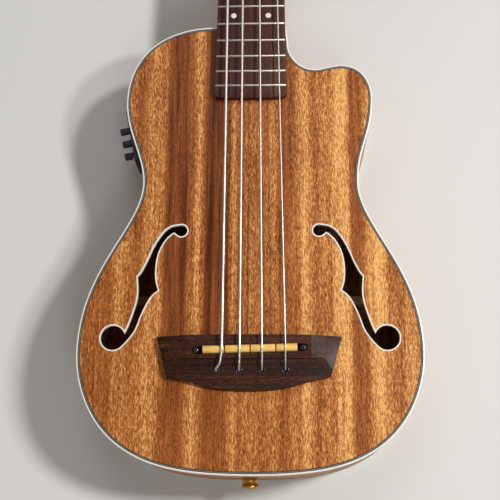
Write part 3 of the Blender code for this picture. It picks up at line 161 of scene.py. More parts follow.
TOP = 72    # height of the soundboard's face
TOP_THICKNESS = 3
BINDING_WIDTH = 1.3
PURFLING_WIDTH = 1.8
PURFLING_DEPTH = 1.4
F_HOLE_MIDDLE = Vector((-78, 49))
F_BINDING = 1.0
# X and Y, the heading in degrees on the way in and out, the pull on the curve before and after
# the knot as a share of the chord, and the number of points up to the next knot
EDGE_KNOTS = (
    (0, -94, 0, 0, 0.53, 0.53, 20), (92, -76, 32, 32, 0.24, 0.43, 24),
    (130.3, -3.3, 90, 90, 0.25, 0.47, 28), (84.4, 130.4, 90, 90, 0.26, 0.39, 18),
    (97, 202.7, 90, 90, 0.45, 0.12, 18), (71.9, 230.2, 180, 180, 0.61, 0.23, 10),
    (52.1, 226.8, 180, 180, 0.19, 0.51, 18), (30.2, 247.4, 92, 92, 0.19, 0.33, 5),
    (28.5, 265, 95, 180, 0.33, 0.33, 4), (0, 265, 180, 180, 0.33, 0.33, 4),
    (-28.5, 265, 180, 180, 0.33, 0.52, 28), (-100, 199, 270, 270, 0.36, 0.35, 18),
    (-84.4, 130.4, 270, 270, 0.3, 0.26, 28), (-130.3, -3.3, 270, 270, 0.47, 0.25, 24),
    (-92, -76, -32, -32, 0.43, 0.24, 20))


def heading(degrees):
    return Vector((math.cos(math.radians(degrees)), math.sin(math.radians(degrees))))


def body_edge():
    """Points round the body's edge, anticlockwise from the tail, with their inward normals."""
    points, normals = [], []
    for knot, after in zip(EDGE_KNOTS, EDGE_KNOTS[1:] + EDGE_KNOTS[:1]):
        start, end = Vector(knot[:2]), Vector(after[:2])
        chord = (end - start).length
        ahead = start + heading(knot[3]) * chord * knot[5]
        behind = end - heading(after[2]) * chord * after[4]
        for step in range(knot[6]):
            t = step / knot[6]
            s = 1 - t
            points.append(start * s ** 3 + ahead * 3 * s * s * t + behind * 3 * s * t * t + end * t ** 3)
            slope = (ahead - start) * s * s + (behind - ahead) * 2 * s * t + (end - behind) * t * t
            inward = Vector((-slope.y, slope.x)).normalized()
            if step == 0:
                arriving = heading(knot[2] + 90)
                inward = (inward + arriving) / (1 + inward.dot(arriving))
            normals.append(inward)
    return points, normals


EDGE_POINTS, EDGE_NORMALS = body_edge()


def edge_ring(inset, height):
    return [(*(p + n * inset), height) for p, n in zip(EDGE_POINTS, EDGE_NORMALS)]


def curve_through(points, steps):
    """Points of an even curve through the given ones."""
    points = [Vector(p) for p in points]
    ends = [2 * points[0] - points[1], *points, 2 * points[-1] - points[-2]]
    run = []
    for before, start, end, after in zip(ends, ends[1:], ends[2:], ends[3:]):
        for step in range(steps):
            t = step / steps
            run.append(0.5 * (2 * start + t * (end - before)
                              + t * t * (2 * before - 5 * start + 4 * end - after)
                              + t ** 3 * (3 * start - before - 3 * end + after)))
    return [*run, points[-1]]


def arc(middle, radius, start, stop, count, rise=None):
    """Points round a middle from one angle to another; with a rise, of an oval of that height."""
    return [(middle[0] + radius * math.cos(a), middle[1] + (rise or radius) * math.sin(a))
            for a in np.radians(np.linspace(start, stop, count))]


def f_hole_edge():
    """The bass-side opening, anticlockwise from the notch by its upper eye."""
    eye = arc((24.9, 41.9), 4.6, -130, 90, 22)
    shoulder = [eye[-1], (16.8, 44.9), (10.8, 39.9), (4.4, 29.6), (-0.4, 18.3), (-4.8, 9.2), (-7.8, 5.4)]
    stem = [(-7.8, 5.4), (-7.0, -4), (-7.4, -12.5), (-10.3, -23.4), (-13.6, -33), (-16.1, -38.7)]
    foot = arc((-24.9, -41.9), 9.3, 20, 318, 38)
    heel = [foot[-1], (-15.2, -45.2), (-12.1, -41.3), (-9.1, -36.8), (-6.8, -31.4), (-4.8, -25.4),
            (0.2, -14.2), (4.2, -8.6), (8.1, -5.5)]
    inside = [(8.1, -5.5), (6.2, 1), (5.5, 8.9), (6.2, 18.9), (8.6, 27.3), (12.7, 34.6), (17.2, 39.2),
              (19.4, 40.5)]
    points = [Vector(p) for p in eye]
    for bend in (shoulder, stem):
        points += curve_through(bend, 5)[1:]
    points += [Vector(p) for p in foot]
    for bend in (heel, inside):
        points += curve_through(bend, 5)[1:]
    return [p + F_HOLE_MIDDLE for p in points]


def widened(points, distance):
    """A closed anticlockwise loop moved outwards, without the points that would fold over."""
    sides = list(zip(points, points[1:] + points[:1]))
    ways = [(b - a).normalized() for a, b in sides]
    loop = []
    for point, arriving, leaving in zip(points, ways[-1:] + ways[:-1], ways):
        first, second = Vector((arriving.y, -arriving.x)), Vector((leaving.y, -leaving.x))
        spot = point + (first + second) / max(1 + first.dot(second), 0.4) * distance
        clear = distance
        for a, b in sides:
            run = b - a
            share = min(max((spot - a).dot(run) / run.length_squared, 0), 1)
            clear = min(clear, (spot - a - run * share).length)
        if clear > 0.985 * distance:
            loop.append(spot)
    return loop


F_HOLE = f_hole_edge()
F_HOLE_WIDE = widened(F_HOLE, F_BINDING)


def on_side(loop, side):
    """The bass-side loop, or its mirror image on the treble side."""
    return loop if side < 0 else [Vector((-p.x, p.y)) for p in reversed(loop)]


def smoothed(mesh, sharp=35):
    """Shade a mesh smooth, but for the edges past an angle in degrees."""
    mesh.shade_smooth()
    mesh.set_sharp_from_angle(angle=math.radians(sharp))
    return mesh


def to_object(name, bm, place=None, sharp=35):
    """An object from a mesh being built, set in its place."""
    bmesh.ops.remove_doubles(bm, verts=bm.verts, dist=1e-7)
    bmesh.ops.recalc_face_normals(bm, faces=bm.faces)
    mesh = bpy.data.meshes.new(name)
    bm.to_mesh(mesh)
    bm.free()
    made = bpy.data.objects.new(name, smoothed(mesh, sharp))
    if place:
        seat = place.copy()
        seat.translation = place.translation * MM
        made.matrix_world = seat
    bpy.context.scene.collection.objects.link(made)
    return made


def skin(name, rings, closed=False, place=None, sharp=35, lengths=None):
    """A skin over rings of equal count. Given lengths along and round it make its UVs, in metres."""
    bm = bmesh.new()
    rows = [[bm.verts.new([value * MM for value in spot]) for spot in ring] for ring in rings]
    chart = bm.loops.layers.uv.new("grain")
    count = len(rows)
    for i in range(count if closed else count - 1):
        low, high = rows[i], rows[(i + 1) % count]
        for a in range(len(low)):
            b = (a + 1) % len(low)
            face = bm.faces.new((low[a], low[b], high[b], high[a]))
            if lengths:
                v0, v1 = lengths[0][i] * MM, lengths[0][i + 1] * MM
                u0, u1 = lengths[1][a] * MM, lengths[1][a + 1] * MM
                for loop, uv in zip(face.loops, ((u0, v0), (u1, v0), (u1, v1), (u0, v1))):
                    loop[chart].uv = uv
    if not closed:
        bm.faces.new(rows[0])
        bm.faces.new(rows[-1])
    return to_object(name, bm, place, sharp)


def slab(name, loops, low, high, place=None):
    """Flat loops extruded from one height to another; the inner loops are holes."""
    curve = bpy.data.curves.new(name, "CURVE")
    curve.dimensions = "2D"
    curve.fill_mode = "BOTH"
    curve.extrude = (high - low) / 2 * MM
    for loop in loops:
        spline = curve.splines.new("POLY")
        spline.points.add(len(loop) - 1)
        for point, spot in zip(spline.points, loop):
            point.co = (spot[0] * MM, spot[1] * MM, 0, 1)
        spline.use_cyclic_u = True
    holder = bpy.data.objects.new(name + "_loops", curve)
    holder.location.z = (low + high) / 2 * MM
    bpy.context.scene.collection.objects.link(holder)
    bpy.context.view_layer.update()
    mesh = bpy.data.meshes.new_from_object(holder.evaluated_get(bpy.context.evaluated_depsgraph_get()))
    mesh.transform(holder.matrix_world)
    bpy.data.objects.remove(holder)
    bpy.data.curves.remove(curve)
    bm = bmesh.new()
    bm.from_mesh(mesh)
    bpy.data.meshes.remove(mesh)
    return to_object(name, bm, place)


def settled(made):
    """Write an object's modifiers into its mesh."""
    bpy.context.view_layer.update()
    mesh = bpy.data.meshes.new_from_object(made.evaluated_get(bpy.context.evaluated_depsgraph_get()))
    made.modifiers.clear()
    made.data = smoothed(mesh)
    return made


def worked(made, others, operation="DIFFERENCE"):
    """Cut or join other solids into one, and throw them away."""
    for other in others:
        step = made.modifiers.new("work", "BOOLEAN")
        step.operation = operation
        step.object = other
    settled(made)
    for other in others:
        bpy.data.objects.remove(other)
    return made


def fitted(piece, finish, body="body", stands_for=()):
    """Give a piece its finish and its place on a body, and say which CAD nodes it stands for."""
    piece.data.materials.clear()
    piece.data.materials.append(finish)
    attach(piece, body)
    if stands_for:
        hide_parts(*stands_for)
    return piece


def own_place(tree):
    """Where a point lies on the piece itself, in metres."""
    return add_node(tree, "TexCoord").outputs["Object"]


def darker(colour, share):
    return [share * value for value in linear(colour)[:3]] + [1]


def timber(name, place, across, along, tint, bands=None, pore=0.6, ribbon=(10.53, 312.5), coat=0.08,
           fleck=1.7, shine=0.12):
    """Wood with soft ribbons along the grain, fine fibres, flecks and short dark pores, lacquered.

    Across and along name the axes of place. Ribbon is the width and length of a ribbon.
    """
    made, tree, shader = new_finish(name, {"Roughness": 0.44, "Specular IOR Level": shine,
                                           "Coat Weight": coat, "Coat Roughness": 0.3})
    parts = add_node(tree, "SeparateXYZ", {0: place(tree)})
    u, v = parts.outputs[across], parts.outputs[along]
    w = next(parts.outputs[axis] for axis in "XYZ" if axis not in (across, along))

    def grain(width, length, detail, shift, rough=0.5, lean=0.0):
        """Soft noise drawn out along the grain, in marks of a width and a length."""
        slant = add_node(tree, "Math", {0: v, 1: lean, 2: u}, operation="MULTIPLY_ADD")
        spot = add_node(tree, "CombineXYZ", {
            0: add_node(tree, "Math", {0: slant, 1: 1 / (width * MM)}, operation="MULTIPLY"),
            1: add_node(tree, "Math", {0: v, 1: 1 / (length * MM)}, operation="MULTIPLY"),
            2: add_node(tree, "Math", {0: w, 1: 1 / (width * MM), 2: shift}, operation="MULTIPLY_ADD")})
        return add_node(tree, "TexNoise", {"Vector": spot, "Scale": 1, "Detail": detail,
                                           "Roughness": rough})

    # real fibres, flecks and pores are 0.1 to 0.2 mm wide; these are 0.4 to 1.25 mm, so that they show
    broad, fibre = grain(*ribbon, 2, 3.7), grain(1.25, 62.5, 4, 9.1, 0.7)
    mottle, speck = grain(0.6897, 3.333, 4, 5.2, 0.72, 0.06), grain(0.4167, 4.167, 2, 1.3)
    flecks = add_node(tree, "Math", {0: mottle, 1: 0.5}, operation="SUBTRACT")
    ribbons, tone = [(broad, 1.0)], -0.35
    if bands:
        # the ribbons lie where bands puts them, and sway to either side by up to half of this; bands
        # can also hold painted light, as on the top
        sway = 8
        spot = add_node(tree, "Math", {0: broad, 1: sway * MM, 2: u}, operation="MULTIPLY_ADD")
        share = add_node(tree, "MapRange", {0: spot, 1: (bands[0][0] + sway / 2) * MM,
                                            2: (bands[-1][0] + sway / 2) * MM})
        ramp = add_node(tree, "ValToRGB", {0: share})
        ramp.color_ramp.interpolation = "EASE"
        stops = ramp.color_ramp.elements
        for x, value in bands[1:-1]:
            stops.new((x - bands[0][0]) / (bands[-1][0] - bands[0][0]))
        for stop, (x, value) in zip(stops, bands):
            stop.color = (value, value, value, 1)
        # they fade towards the tail, where a shorter ripple takes over, and dark ones have fewer flecks
        held = add_node(tree, "MapRange", {0: v, 1: -150 * MM, 2: 60 * MM, 3: 0.5, 4: 1})
        level = add_node(tree, "Math", {0: ramp, 1: 0.55}, operation="SUBTRACT")
        swing = add_node(tree, "Math", {0: level, 1: held}, operation="MULTIPLY")
        ribbons, tone = [(swing, 0.66), (broad, 0.3), (grain(6.667, 83.33, 2, 6.6), 0.3)], -0.12
        strewn = add_node(tree, "MapRange", {0: swing, 1: -0.5, 2: -0.1, 3: 0.3, 4: 1.3})
        flecks = add_node(tree, "Math", {0: flecks, 1: strewn}, operation="MULTIPLY")
    # the tone is the sum of the patterns, each by its share
    for pattern, share in (*ribbons, (fibre, 0.7), (flecks, fleck)):
        tone = add_node(tree, "Math", {0: pattern, 1: share, 2: tone}, operation="MULTIPLY_ADD")
    wood = add_node(tree, "ValToRGB", {0: tone})
    stops = wood.color_ramp.elements
    stops.new(0.5)
    for stop, position, colour in zip(stops, (0.1, 0.5, 0.95), tint):
        stop.position = position
        stop.color = linear(colour)
    open_pore = add_node(tree, "MapRange", {0: speck, 1: 0.56, 2: 0.63, 3: 0, 4: pore})
    colour = add_node(tree, "Mix", {0: open_pore, 6: wood, 7: darker(tint[0], 0.4)}, data_type="RGBA")
    relief = add_node(tree, "Math", {0: fibre, 1: open_pore}, operation="SUBTRACT")
    bump = add_node(tree, "Bump", {"Height": relief, "Strength": 0.15, "Distance": 0.2 * MM})
    set_inputs(shader, {"Base Color": colour, "Normal": bump})
    return made


# satin mahogany: warm brown to gold ribbons, broken by short flecks and dark pores, under a thin
# lacquer that gives a broad dull sheen; on the top, X and the band's lightness from 0 to 1. The
# top's bands are partly the wood's ribbons and partly painted light: they run lighter on the treble
# side and darker on the bass side, as the light falls from the treble side.
MAHOGANY_TINT = ("#551F01", "#A8612A", "#F0B56C")
TOP_BANDS = (
    (-115, 0.3), (-107, 0.2), (-98, 0.65), (-88, 0.3), (-76, 0.65), (-69, 0.5), (-63, 0.05), (-50, 0),
    (-46, 0.35), (-41, 0.75), (-37, 0.35), (-33, 0), (-21, 0.02), (-13, 0.65), (-7, 0.2), (-2, 0.55),
    (5, 0.4), (11, 0.3), (17, 0.6), (25, 0.2), (34, 0.35), (42, 0.8), (52, 0.4), (62, 0.6), (67, 0.85),
    (74, 0.95), (80, 0.2), (87, 0.25), (92, 0.7), (98, 1), (110, 0.35), (120, 0.7))
top_mahogany = timber("satin_mahogany_top", own_place, "X", "Y", MAHOGANY_TINT, TOP_BANDS)


def make_soundboard():
    field = BINDING_WIDTH + PURFLING_WIDTH
    ledge = TOP - PURFLING_DEPTH
    board = skin("soundboard_plate", [
        edge_ring(BINDING_WIDTH, TOP - TOP_THICKNESS), edge_ring(BINDING_WIDTH, ledge),
        edge_ring(field, ledge), edge_ring(field, TOP)])
    worked(board, [slab("f_cut", [on_side(F_HOLE_WIDE, side)], TOP - 8, TOP + 5) for side in (-1, 1)])
    fitted(board, top_mahogany, stands_for=("soundboard",))


make_soundboard()


# Bindings and purfling
# Cream celluloid strips, glued into rebates and scraped flush, with a rounded outer arris. The
# purfling inside the top one is a thin white strip of fibre between two black ones.

BINDING_HEIGHT = 5
PURFLING_SHARES = (0.4, 0.17, 0.43)     # black, white, black, as shares of the width


def mottled(name, colours, cloud, surface, detail=3, distortion=0, bump=0):
    """Two close tones in soft clouds of one width, over constant surface values."""
    made, tree, shader = new_finish(name, surface)
    clouds = add_node(tree, "TexNoise", {"Vector": own_place(tree), "Scale": 1 / (cloud * MM),
                                         "Detail": detail, "Distortion": distortion})
    tone = add_node(tree, "Mix", {0: clouds, 6: linear(colours[0]), 7: linear(colours[1])},
                    data_type="RGBA")
    set_inputs(shader, {"Base Color": tone})
    if bump:
        relief = add_node(tree, "Bump", {"Height": clouds, "Strength": bump, "Distance": 0.1 * MM})
        set_inputs(shader, {"Normal": relief})
    return made


def moulded(name, colours, cloud, rough, bump=0):
    """Plastic, fibre, rubber, paint or bone: an even tone with a soft second sheen on its face.

    The real grain is some hundredths of a millimetre; its clouds are drawn wider, so that they show.
    """
    return mottled(name, colours, cloud, {"Roughness": rough, "Coat Weight": 0.25, "Coat Roughness": 0.25},
                   bump=bump)


# scraped and buffed celluloid: warm off-white, faintly clouded, that lets a little light in
celluloid = mottled("cream_celluloid", ("#D9D3C5", "#E8E4DA"), 16.67, {
    "Roughness": 0.3, "Coat Weight": 0.4, "Coat Roughness": 0.15, "Subsurface Weight": 0.15,
    "Subsurface Scale": 1 * MM})
# dyed fibre, scraped flush: flat black and flat grey-white, which read as fine drawn lines
black_fibre = moulded("black_fibre", ("#080808", "#121110"), 1.11, 0.6)
white_fibre = moulded("white_fibre", ("#7F7B74", "#959188"), 1.11, 0.5)


def edge_strip(name, section, spots=None):
    """A strip whose section, in inset and height, follows the whole edge or a part of it."""
    rings = [[(*(EDGE_POINTS[i] + EDGE_NORMALS[i] * inset), height) for inset, height in section]
             for i in (spots or range(len(EDGE_POINTS)))]
    run = [0]
    for here, there in zip(rings, rings[1:] + rings[:1]):
        run.append(run[-1] + (Vector(there[0]) - Vector(here[0])).length)
    girth = [0]
    for here, there in zip(section, section[1:] + section[:1]):
        girth.append(girth[-1] + math.dist(here, there))
    return skin(name, rings, closed=spots is None, sharp=50, lengths=(run, girth))


def make_bindings():
    high, wide = BINDING_HEIGHT, BINDING_WIDTH
    arris = [(0, 0.7), (0.08, 0.4), (0.25, 0.16), (0.55, 0.03), (0.8, 0)]
    top = [(wide, TOP - high), (0, TOP - high), *[(inset, TOP - drop) for inset, drop in arris], (wide, TOP)]
    back = [(wide, high), (0, high), *arris, (wide, 0)]
    for word, section in (("top", top), ("back", back)):
        strip = edge_strip(word + "_binding_strip", section)
        fitted(strip, celluloid, stands_for=(word + "_binding",))
    for side, word in ((-1, "bass"), (1, "treble")):
        ring = slab("f_hole_lining_" + word, [on_side(F_HOLE_WIDE, side), on_side(F_HOLE, side)],
                    TOP - TOP_THICKNESS, TOP + 0.1)
        fitted(ring, celluloid, stands_for=("f_hole_binding_" + word,))
    ledge, inner = TOP - PURFLING_DEPTH, BINDING_WIDTH
    for index, share in enumerate(PURFLING_SHARES):
        outer = inner + share * PURFLING_WIDTH
        section = [(inner, ledge), (inner, TOP), (outer, TOP), (outer, ledge)]
        line = edge_strip("purfling_line_%d" % (index + 1), section)
        inner = outer
        fitted(line, white_fibre if index % 2 else black_fibre,
               stands_for=("top_purfling",) if index == 0 else ())


make_bindings()


# Sides and back
# Two mahogany ribs bent to the outline, their grain running along the body, and a flat back of
# two plates. Both have the top's satin lacquer.

RIB_THICKNESS = 2.4
BACK_THICKNESS = 3
JACK_BORE = 5


def moved(x, y, z):
    return Matrix.Translation((x, y, z))


def turned(degrees, axis):
    return Matrix.Rotation(math.radians(degrees), 4, axis)


JACK_FRAME = moved(0, -94, 36) @ turned(90, "X")     # its Z points out of the tail


def rib_place(tree):
    """Where a point lies along and round a strip or a wire, in metres."""
    return add_node(tree, "UVMap", uv_map="grain").outputs[0]


# the same satin mahogany, with softer ribbons that follow the bend of the ribs
side_mahogany = timber("satin_mahogany_side", rib_place, "X", "Y", MAHOGANY_TINT)
back_mahogany = timber("satin_mahogany_back", own_place, "X", "Y", MAHOGANY_TINT)


def make_sides():
    low, high = BINDING_HEIGHT, TOP - BINDING_HEIGHT
    wall = [(0, low), (0, high), (RIB_THICKNESS, high), (RIB_THICKNESS, low)]
    total = len(EDGE_POINTS)
    neck_joint = sum(knot[6] for knot in EDGE_KNOTS[:9])
    for word, spots in (("treble", range(neck_joint + 1)),
                        ("bass", [i % total for i in range(neck_joint, total + 1)])):
        rib = edge_strip(word + "_rib", wall, spots)
        worked(rib, [slab("jack_cut", [arc((0, 0), JACK_BORE, 0, 351, 40)], -20, 20, JACK_FRAME)])
        fitted(rib, side_mahogany, stands_for=("side_" + word,))
    back = skin("back_plate", [edge_ring(BINDING_WIDTH, 0), edge_ring(BINDING_WIDTH, BACK_THICKNESS)])
    fitted(back, back_mahogany, stands_for=("back",))


make_sides()


# Inside of the body
# Spruce blocks, braces and kerfed linings, and a patch under the bridge, glued in. Only a little
# of them shows through the f-holes.

def dressed(finish, *names):
    """CAD nodes that keep their shape get a finish."""
    for name in names:
        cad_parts[name].material_slots[0].material = finish


# bare planed spruce: pale straw yellow with close straight grain and next to no pores
SPRUCE_TINT = ("#A9804C", "#C9A26A", "#DDBC88")
spruce_along = timber("spruce_along", own_place, "X", "Y", SPRUCE_TINT, pore=0.1, ribbon=(2.381, 200))
spruce_across = timber("spruce_across", own_place, "Y", "X", SPRUCE_TINT, pore=0.1, ribbon=(2.381, 200))
dressed(spruce_along, "neck_block", "tail_block", "top_lining", "back_lining", "tone_bar_bass",
        "tone_bar_treble")
dressed(spruce_across, "bridge_patch", "top_brace_upper", "top_brace_waist", "back_brace_lower",
        "back_brace_upper")


# Bridge
# One piece of dark rosewood, planed and sanded: a raised middle, wings that slope to their tips
# and a lower shelf behind the saddle, where each string's ball end sits in a black eyelet.

GLUE_LINE = 0.3
FOOT = TOP + GLUE_LINE
BRIDGE_HEIGHT = 9
BRIDGE_TOP = FOOT + BRIDGE_HEIGHT
WING_START, WING_END, WING_TIP = 46, 69, 4.2     # X where a wing starts and ends, and its height there
SHELF = FOOT + 7
SHELF_START = -9.5
SHELF_SLOPE = 8.5
ANCHOR_Y = -18.4
SADDLE_X, SADDLE_Y, SADDLE_SKEW = 0.6, -2.9, 1.6
SADDLE_FRAME = moved(SADDLE_X, SADDLE_Y, 0) @ turned(SADDLE_SKEW, "Z")
SADDLE_CROWN = TOP + 13.2
SLOT_LENGTH, SLOT_HALF_WIDTH, SLOT_FLOOR = 85.4, 2.9, FOOT + 2
# diameter of each string, then its X at the nut, the saddle and the anchor
STRINGS = {"e": (2.0, -18.2, -19.7, -24), "a": (1.7, -6.7, -6.6, -7.2), "d": (1.35, 4.9, 9.8, 9.7),
           "g": (1.05, 16.7, 27, 27)}
# oiled rosewood: near black, with fine red-brown streaks across the body and a low sheen
bridge_rosewood = timber("bridge_rosewood", own_place, "Y", "X", ("#140602", "#33180A", "#64391F"), pore=0.6,
                         ribbon=(3.03, 166.7), coat=0.0, fleck=1.6, shine=0.18)
# polished black plastic: deep black with one small sharp glint
black_moulding = moulded("black_moulding", ("#060606", "#0E0E0D"), 1.43, 0.12)


def eased(made, width, segments=2, angle=40):
    """Round the edges past an angle a little, as sandpaper does."""
    step = made.modifiers.new("ease", "BEVEL")
    step.width = width * MM
    step.segments = segments
    step.limit_method = "ANGLE"
    step.angle_limit = math.radians(angle)
    return settled(made)


def block(name, low, high, place=None):
    """A plain box from one corner to the other, for cutting or to be worked further."""
    loop = [(low[0], low[1]), (high[0], low[1]), (high[0], high[1]), (low[0], high[1])]
    return slab(name, [loop], low[2], high[2], place)


def lathe(name, profile, place=None, steps=40, closed=False):
    """A turned solid from pairs of radius and height; its ends are flat unless it is a ring."""
    rings = [[(r * math.cos(a), r * math.sin(a), z) for a in np.linspace(0, math.tau, steps, False)]
             for r, z in profile]
    return skin(name, rings, closed, place)


def slot_loop(length, half):
    right = [(x + length / 2 - half, y) for x, y in arc((0, 0), half, -90, 90, 12)]
    return right + [(-x, -y) for x, y in right]


def make_bridge():
    rear = curve_through([(-58.5, -23.4), (-45, -26.2), (-35, -29.2), (-20, -32), (0, -33), (20, -32),
                          (35, -29.2), (45, -26.2), (58.5, -23.4)], 6)
    front = curve_through([(WING_END, 7), (35, 7.7), (0, 8), (-35, 7.7), (-WING_END, 7)], 4)
    bridge = slab("bridge_body", [[(-60.8, -21.6), *rear, (60.8, -21.6), *front]], TOP, BRIDGE_TOP)
    tilt = math.degrees(math.atan2(BRIDGE_HEIGHT - WING_TIP, WING_END - WING_START))
    cutters = [block("wing_cut", (0, -50, 0), (70, 50, 9),
                     moved(side * WING_START, 0, BRIDGE_TOP) @ turned(around, "Z") @ turned(tilt, "Y"))
               for side, around in ((-1, 180), (1, 0))]
    cutters.append(block("shelf_cut", (-90, -60, 0), (90, 0, 18),
                         moved(0, SHELF_START, SHELF) @ turned(SHELF_SLOPE, "X")))
    worked(bridge, cutters)
    eased(bridge, 0.35, 2, 5)
    slot = slab("slot_cut", [slot_loop(SLOT_LENGTH, SLOT_HALF_WIDTH)], SLOT_FLOOR, BRIDGE_TOP + 9,
                SADDLE_FRAME)
    holes = [lathe("anchor_cut", [(2.1, 0), (2.1, 20)], moved(anchor_x, ANCHOR_Y, FOOT + 1))
             for gauge, nut_x, saddle_x, anchor_x in STRINGS.values()]
    worked(bridge, [slot, *holes])
    fitted(bridge, bridge_rosewood, stands_for=("bridge",))


def make_eyelets_and_plugs():
    drop = (ANCHOR_Y - SHELF_START) * math.tan(math.radians(SHELF_SLOPE))
    flange = [(1.25, -4.2), (2.05, -4.2), (2.05, -0.1), (2.8, -0.1), (2.8, 0.15), (2.6, 0.4), (2.2, 0.52),
              (1.75, 0.4), (1.4, 0.1), (1.25, -0.4)]
    for name, (gauge, nut_x, saddle_x, anchor_x) in STRINGS.items():
        seat = moved(anchor_x, ANCHOR_Y, SHELF + drop) @ turned(SHELF_SLOPE, "X")
        fitted(lathe("eyelet_" + name, flange, seat, closed=True), black_moulding)
    button = [(2.85, 2.1), (2.85, 7.4), *arc((0, 7.4), 2.85, 10, 88, 10, rise=2.3)]
    for word, side in (("bass", -1), ("treble", 1)):
        plug = lathe("slot_plug_" + word, button, SADDLE_FRAME @ moved(side * 39.8, 0, FOOT))
        fitted(plug, black_moulding)


make_bridge()
make_eyelets_and_plugs()


# Saddle and pickup
# Four separate blocks of yellowed bone stand in one slot, a thin gap apart, on the brass strip
# of the pickup. Each is filed round on top for its string.

SADDLE_ENDS = (-34.4, -17.8, 1.0, 19.9, 36.1)    # X of the cuts between the blocks
SADDLE_GAP = 0.9
SADDLE_HALF_WIDTH = 2.8
SADDLE_ARCH = 2.2
STRIP_THICKNESS = 1.8
# yellowed bone, filed and buffed: warm gold with faint clouds, lit a little from within
saddle_bone = mottled("amber_saddle_stock", ("#C8963A", "#F3C970"), 4.55, {
    "Roughness": 0.35, "Coat Weight": 0.3, "Coat Roughness": 0.2, "Subsurface Weight": 0.2,
    "Subsurface Scale": 1.5 * MM}, detail=4)


def metal(name, colour, rough, worn=0.12):
    """Plated or plain metal, whose polish comes and goes in clouds 2.9 mm wide."""
    made, tree, shader = new_finish(name, {"Metallic": 1.0})
    polish = add_node(tree, "TexNoise", {"Vector": own_place(tree), "Scale": 1 / (2.86 * MM), "Detail": 4})
    uneven = add_node(tree, "MapRange", {0: polish, 1: 0.3, 2: 0.7, 3: rough, 4: rough + worn})
    tone = add_node(tree, "Mix", {0: polish, 6: linear(colour), 7: darker(colour, 0.82)},
                    data_type="RGBA")
    set_inputs(shader, {"Roughness": uneven, "Base Color": tone})
    return made


# rolled brass: warm yellow, glossy, with the highlight a little uneven
brass = metal("brass_plate", "#C9973F", 0.24)
dressed(brass, "pickup_strip")


def make_saddles():
    seat = SLOT_FLOOR + GLUE_LINE + STRIP_THICKNESS
    half, rise = SADDLE_HALF_WIDTH, SADDLE_ARCH
    section = [(-half, seat), (half, seat), *arc((0, SADDLE_CROWN - rise), half, 0, 180, 15, rise=rise)]
    for name, low, high in zip(STRINGS, SADDLE_ENDS, SADDLE_ENDS[1:]):
        ends = (low + SADDLE_GAP / 2 - SADDLE_X, high - SADDLE_GAP / 2 - SADDLE_X)
        rings = [[(x, y, z) for y, z in section] for x in ends]
        saddle = skin("saddle_block_" + name, rings, place=SADDLE_FRAME)
        eased(saddle, 0.3, 2, 50)
        fitted(saddle, saddle_bone, stands_for=("saddle_" + name,))


make_saddles()


# Neck and headstock
# One piece of mahogany: a D-shaped neck with a swept heel, and a headstock that leans back 13
# degrees. Its face has a rosewood veneer, the heel a rosewood cap.

SCALE_LENGTH = 530
JOIN_Y = 265
NUT_HALF_WIDTH = 22.5
NECK_DEPTH, NECK_DEPTH_AT_NUT = 18, 15.5
HEEL_LENGTH, HEEL_SWEEP = 20, 46
HEEL_HALF_WIDTH = 13
HEEL_CAP_HEIGHT = 2.5
HEAD_Y = 535.6
HEAD_LEAN = 13
HEAD_THICKNESS = 13
HEAD_BLEND = 14     # how far past the nut the neck turns into the headstock
VENEER_TOP = 1.9
BAR_SLOT = ((-3.2, JOIN_Y + 15.8, 63.5), (3.2, 514.2, 90))    # two corners of the slot for the bar
HEAD_FRAME = moved(0, HEAD_Y, TOP) @ turned(-HEAD_LEAN, "X")
POSTS = {"e": (-1, 38.0), "a": (-1, 84.0), "d": (1, 84.0), "g": (1, 38.0)}    # side, Y on the headstock
POST_X = 24.5
POST_BORE = 4.3
HEAD_SIDE = curve_through([(NUT_HALF_WIDTH, 0), (23.1, 8), (26.5, 15), (33.5, 21), (35.5, 30), (33, 74),
                           (34.5, 102)], 8)
# the same satin mahogany, in wider and longer ribbons
neck_mahogany = timber("satin_mahogany_neck", own_place, "X", "Y", MAHOGANY_TINT, ribbon=(14.29, 400))
# oiled rosewood: dark red-brown with fine dark pores, dry, with a faint sheen along the grain
board_rosewood = timber("fingerboard_rosewood", own_place, "X", "Y", ("#25100A", "#432318", "#67402F"),
                        pore=0.55, ribbon=(3.846, 200), coat=0.0, fleck=0.4, shine=0.16)


def board_half_width(y):
    return NUT_HALF_WIDTH + 5.15 * (SCALE_LENGTH - y) / JOIN_Y


def head_half_width(run):
    return float(np.interp(run, [p.y for p in HEAD_SIDE], [p.x for p in HEAD_SIDE]))


def head_loop(start):
    """The headstock's outline from a distance past the nut, anticlockwise."""
    right = [Vector((head_half_width(start), start)), *[p for p in HEAD_SIDE if p.y > start + 0.3]]
    right += curve_through([right[-1], (33.5, 108), (29.5, 112), (22.5, 114), (11.5, 117), (0, 118)], 4)[1:]
    return right + [Vector((-p.x, p.y)) for p in reversed(right[:-1])]


def post_seat(name):
    """The frame of a string post, on the face of the headstock."""
    side, y = POSTS[name]
    return HEAD_FRAME @ moved(side * POST_X, y, 0)


def post_cutters(low):
    return [lathe("post_cut", [(POST_BORE, low), (POST_BORE, 10)], post_seat(name)) for name in POSTS]


def neck_section(y, half, top, depth, heel_half=0.0, heel_share=0.0, head_share=0.0):
    """A round D, blended towards the heel's or the headstock's section."""
    side = []
    for q in np.linspace(0, 1, 19):
        angle = math.radians(90) * q
        sink, reach = math.sin(angle), half * math.cos(angle)
        heel_reach = heel_half + (half - heel_half) * (1 - q) ** 2.2
        sink += heel_share * (q - sink) + head_share * (min(2 * q, 1) - sink)
        reach += heel_share * (heel_reach - reach) + head_share * (half * min(1, 2 - 2 * q) - reach)
        side.append((max(reach, 0.3), top - depth * sink))
    return [(-x, y, z) for x, z in side] + [(x, y, z) for x, z in reversed(side)]


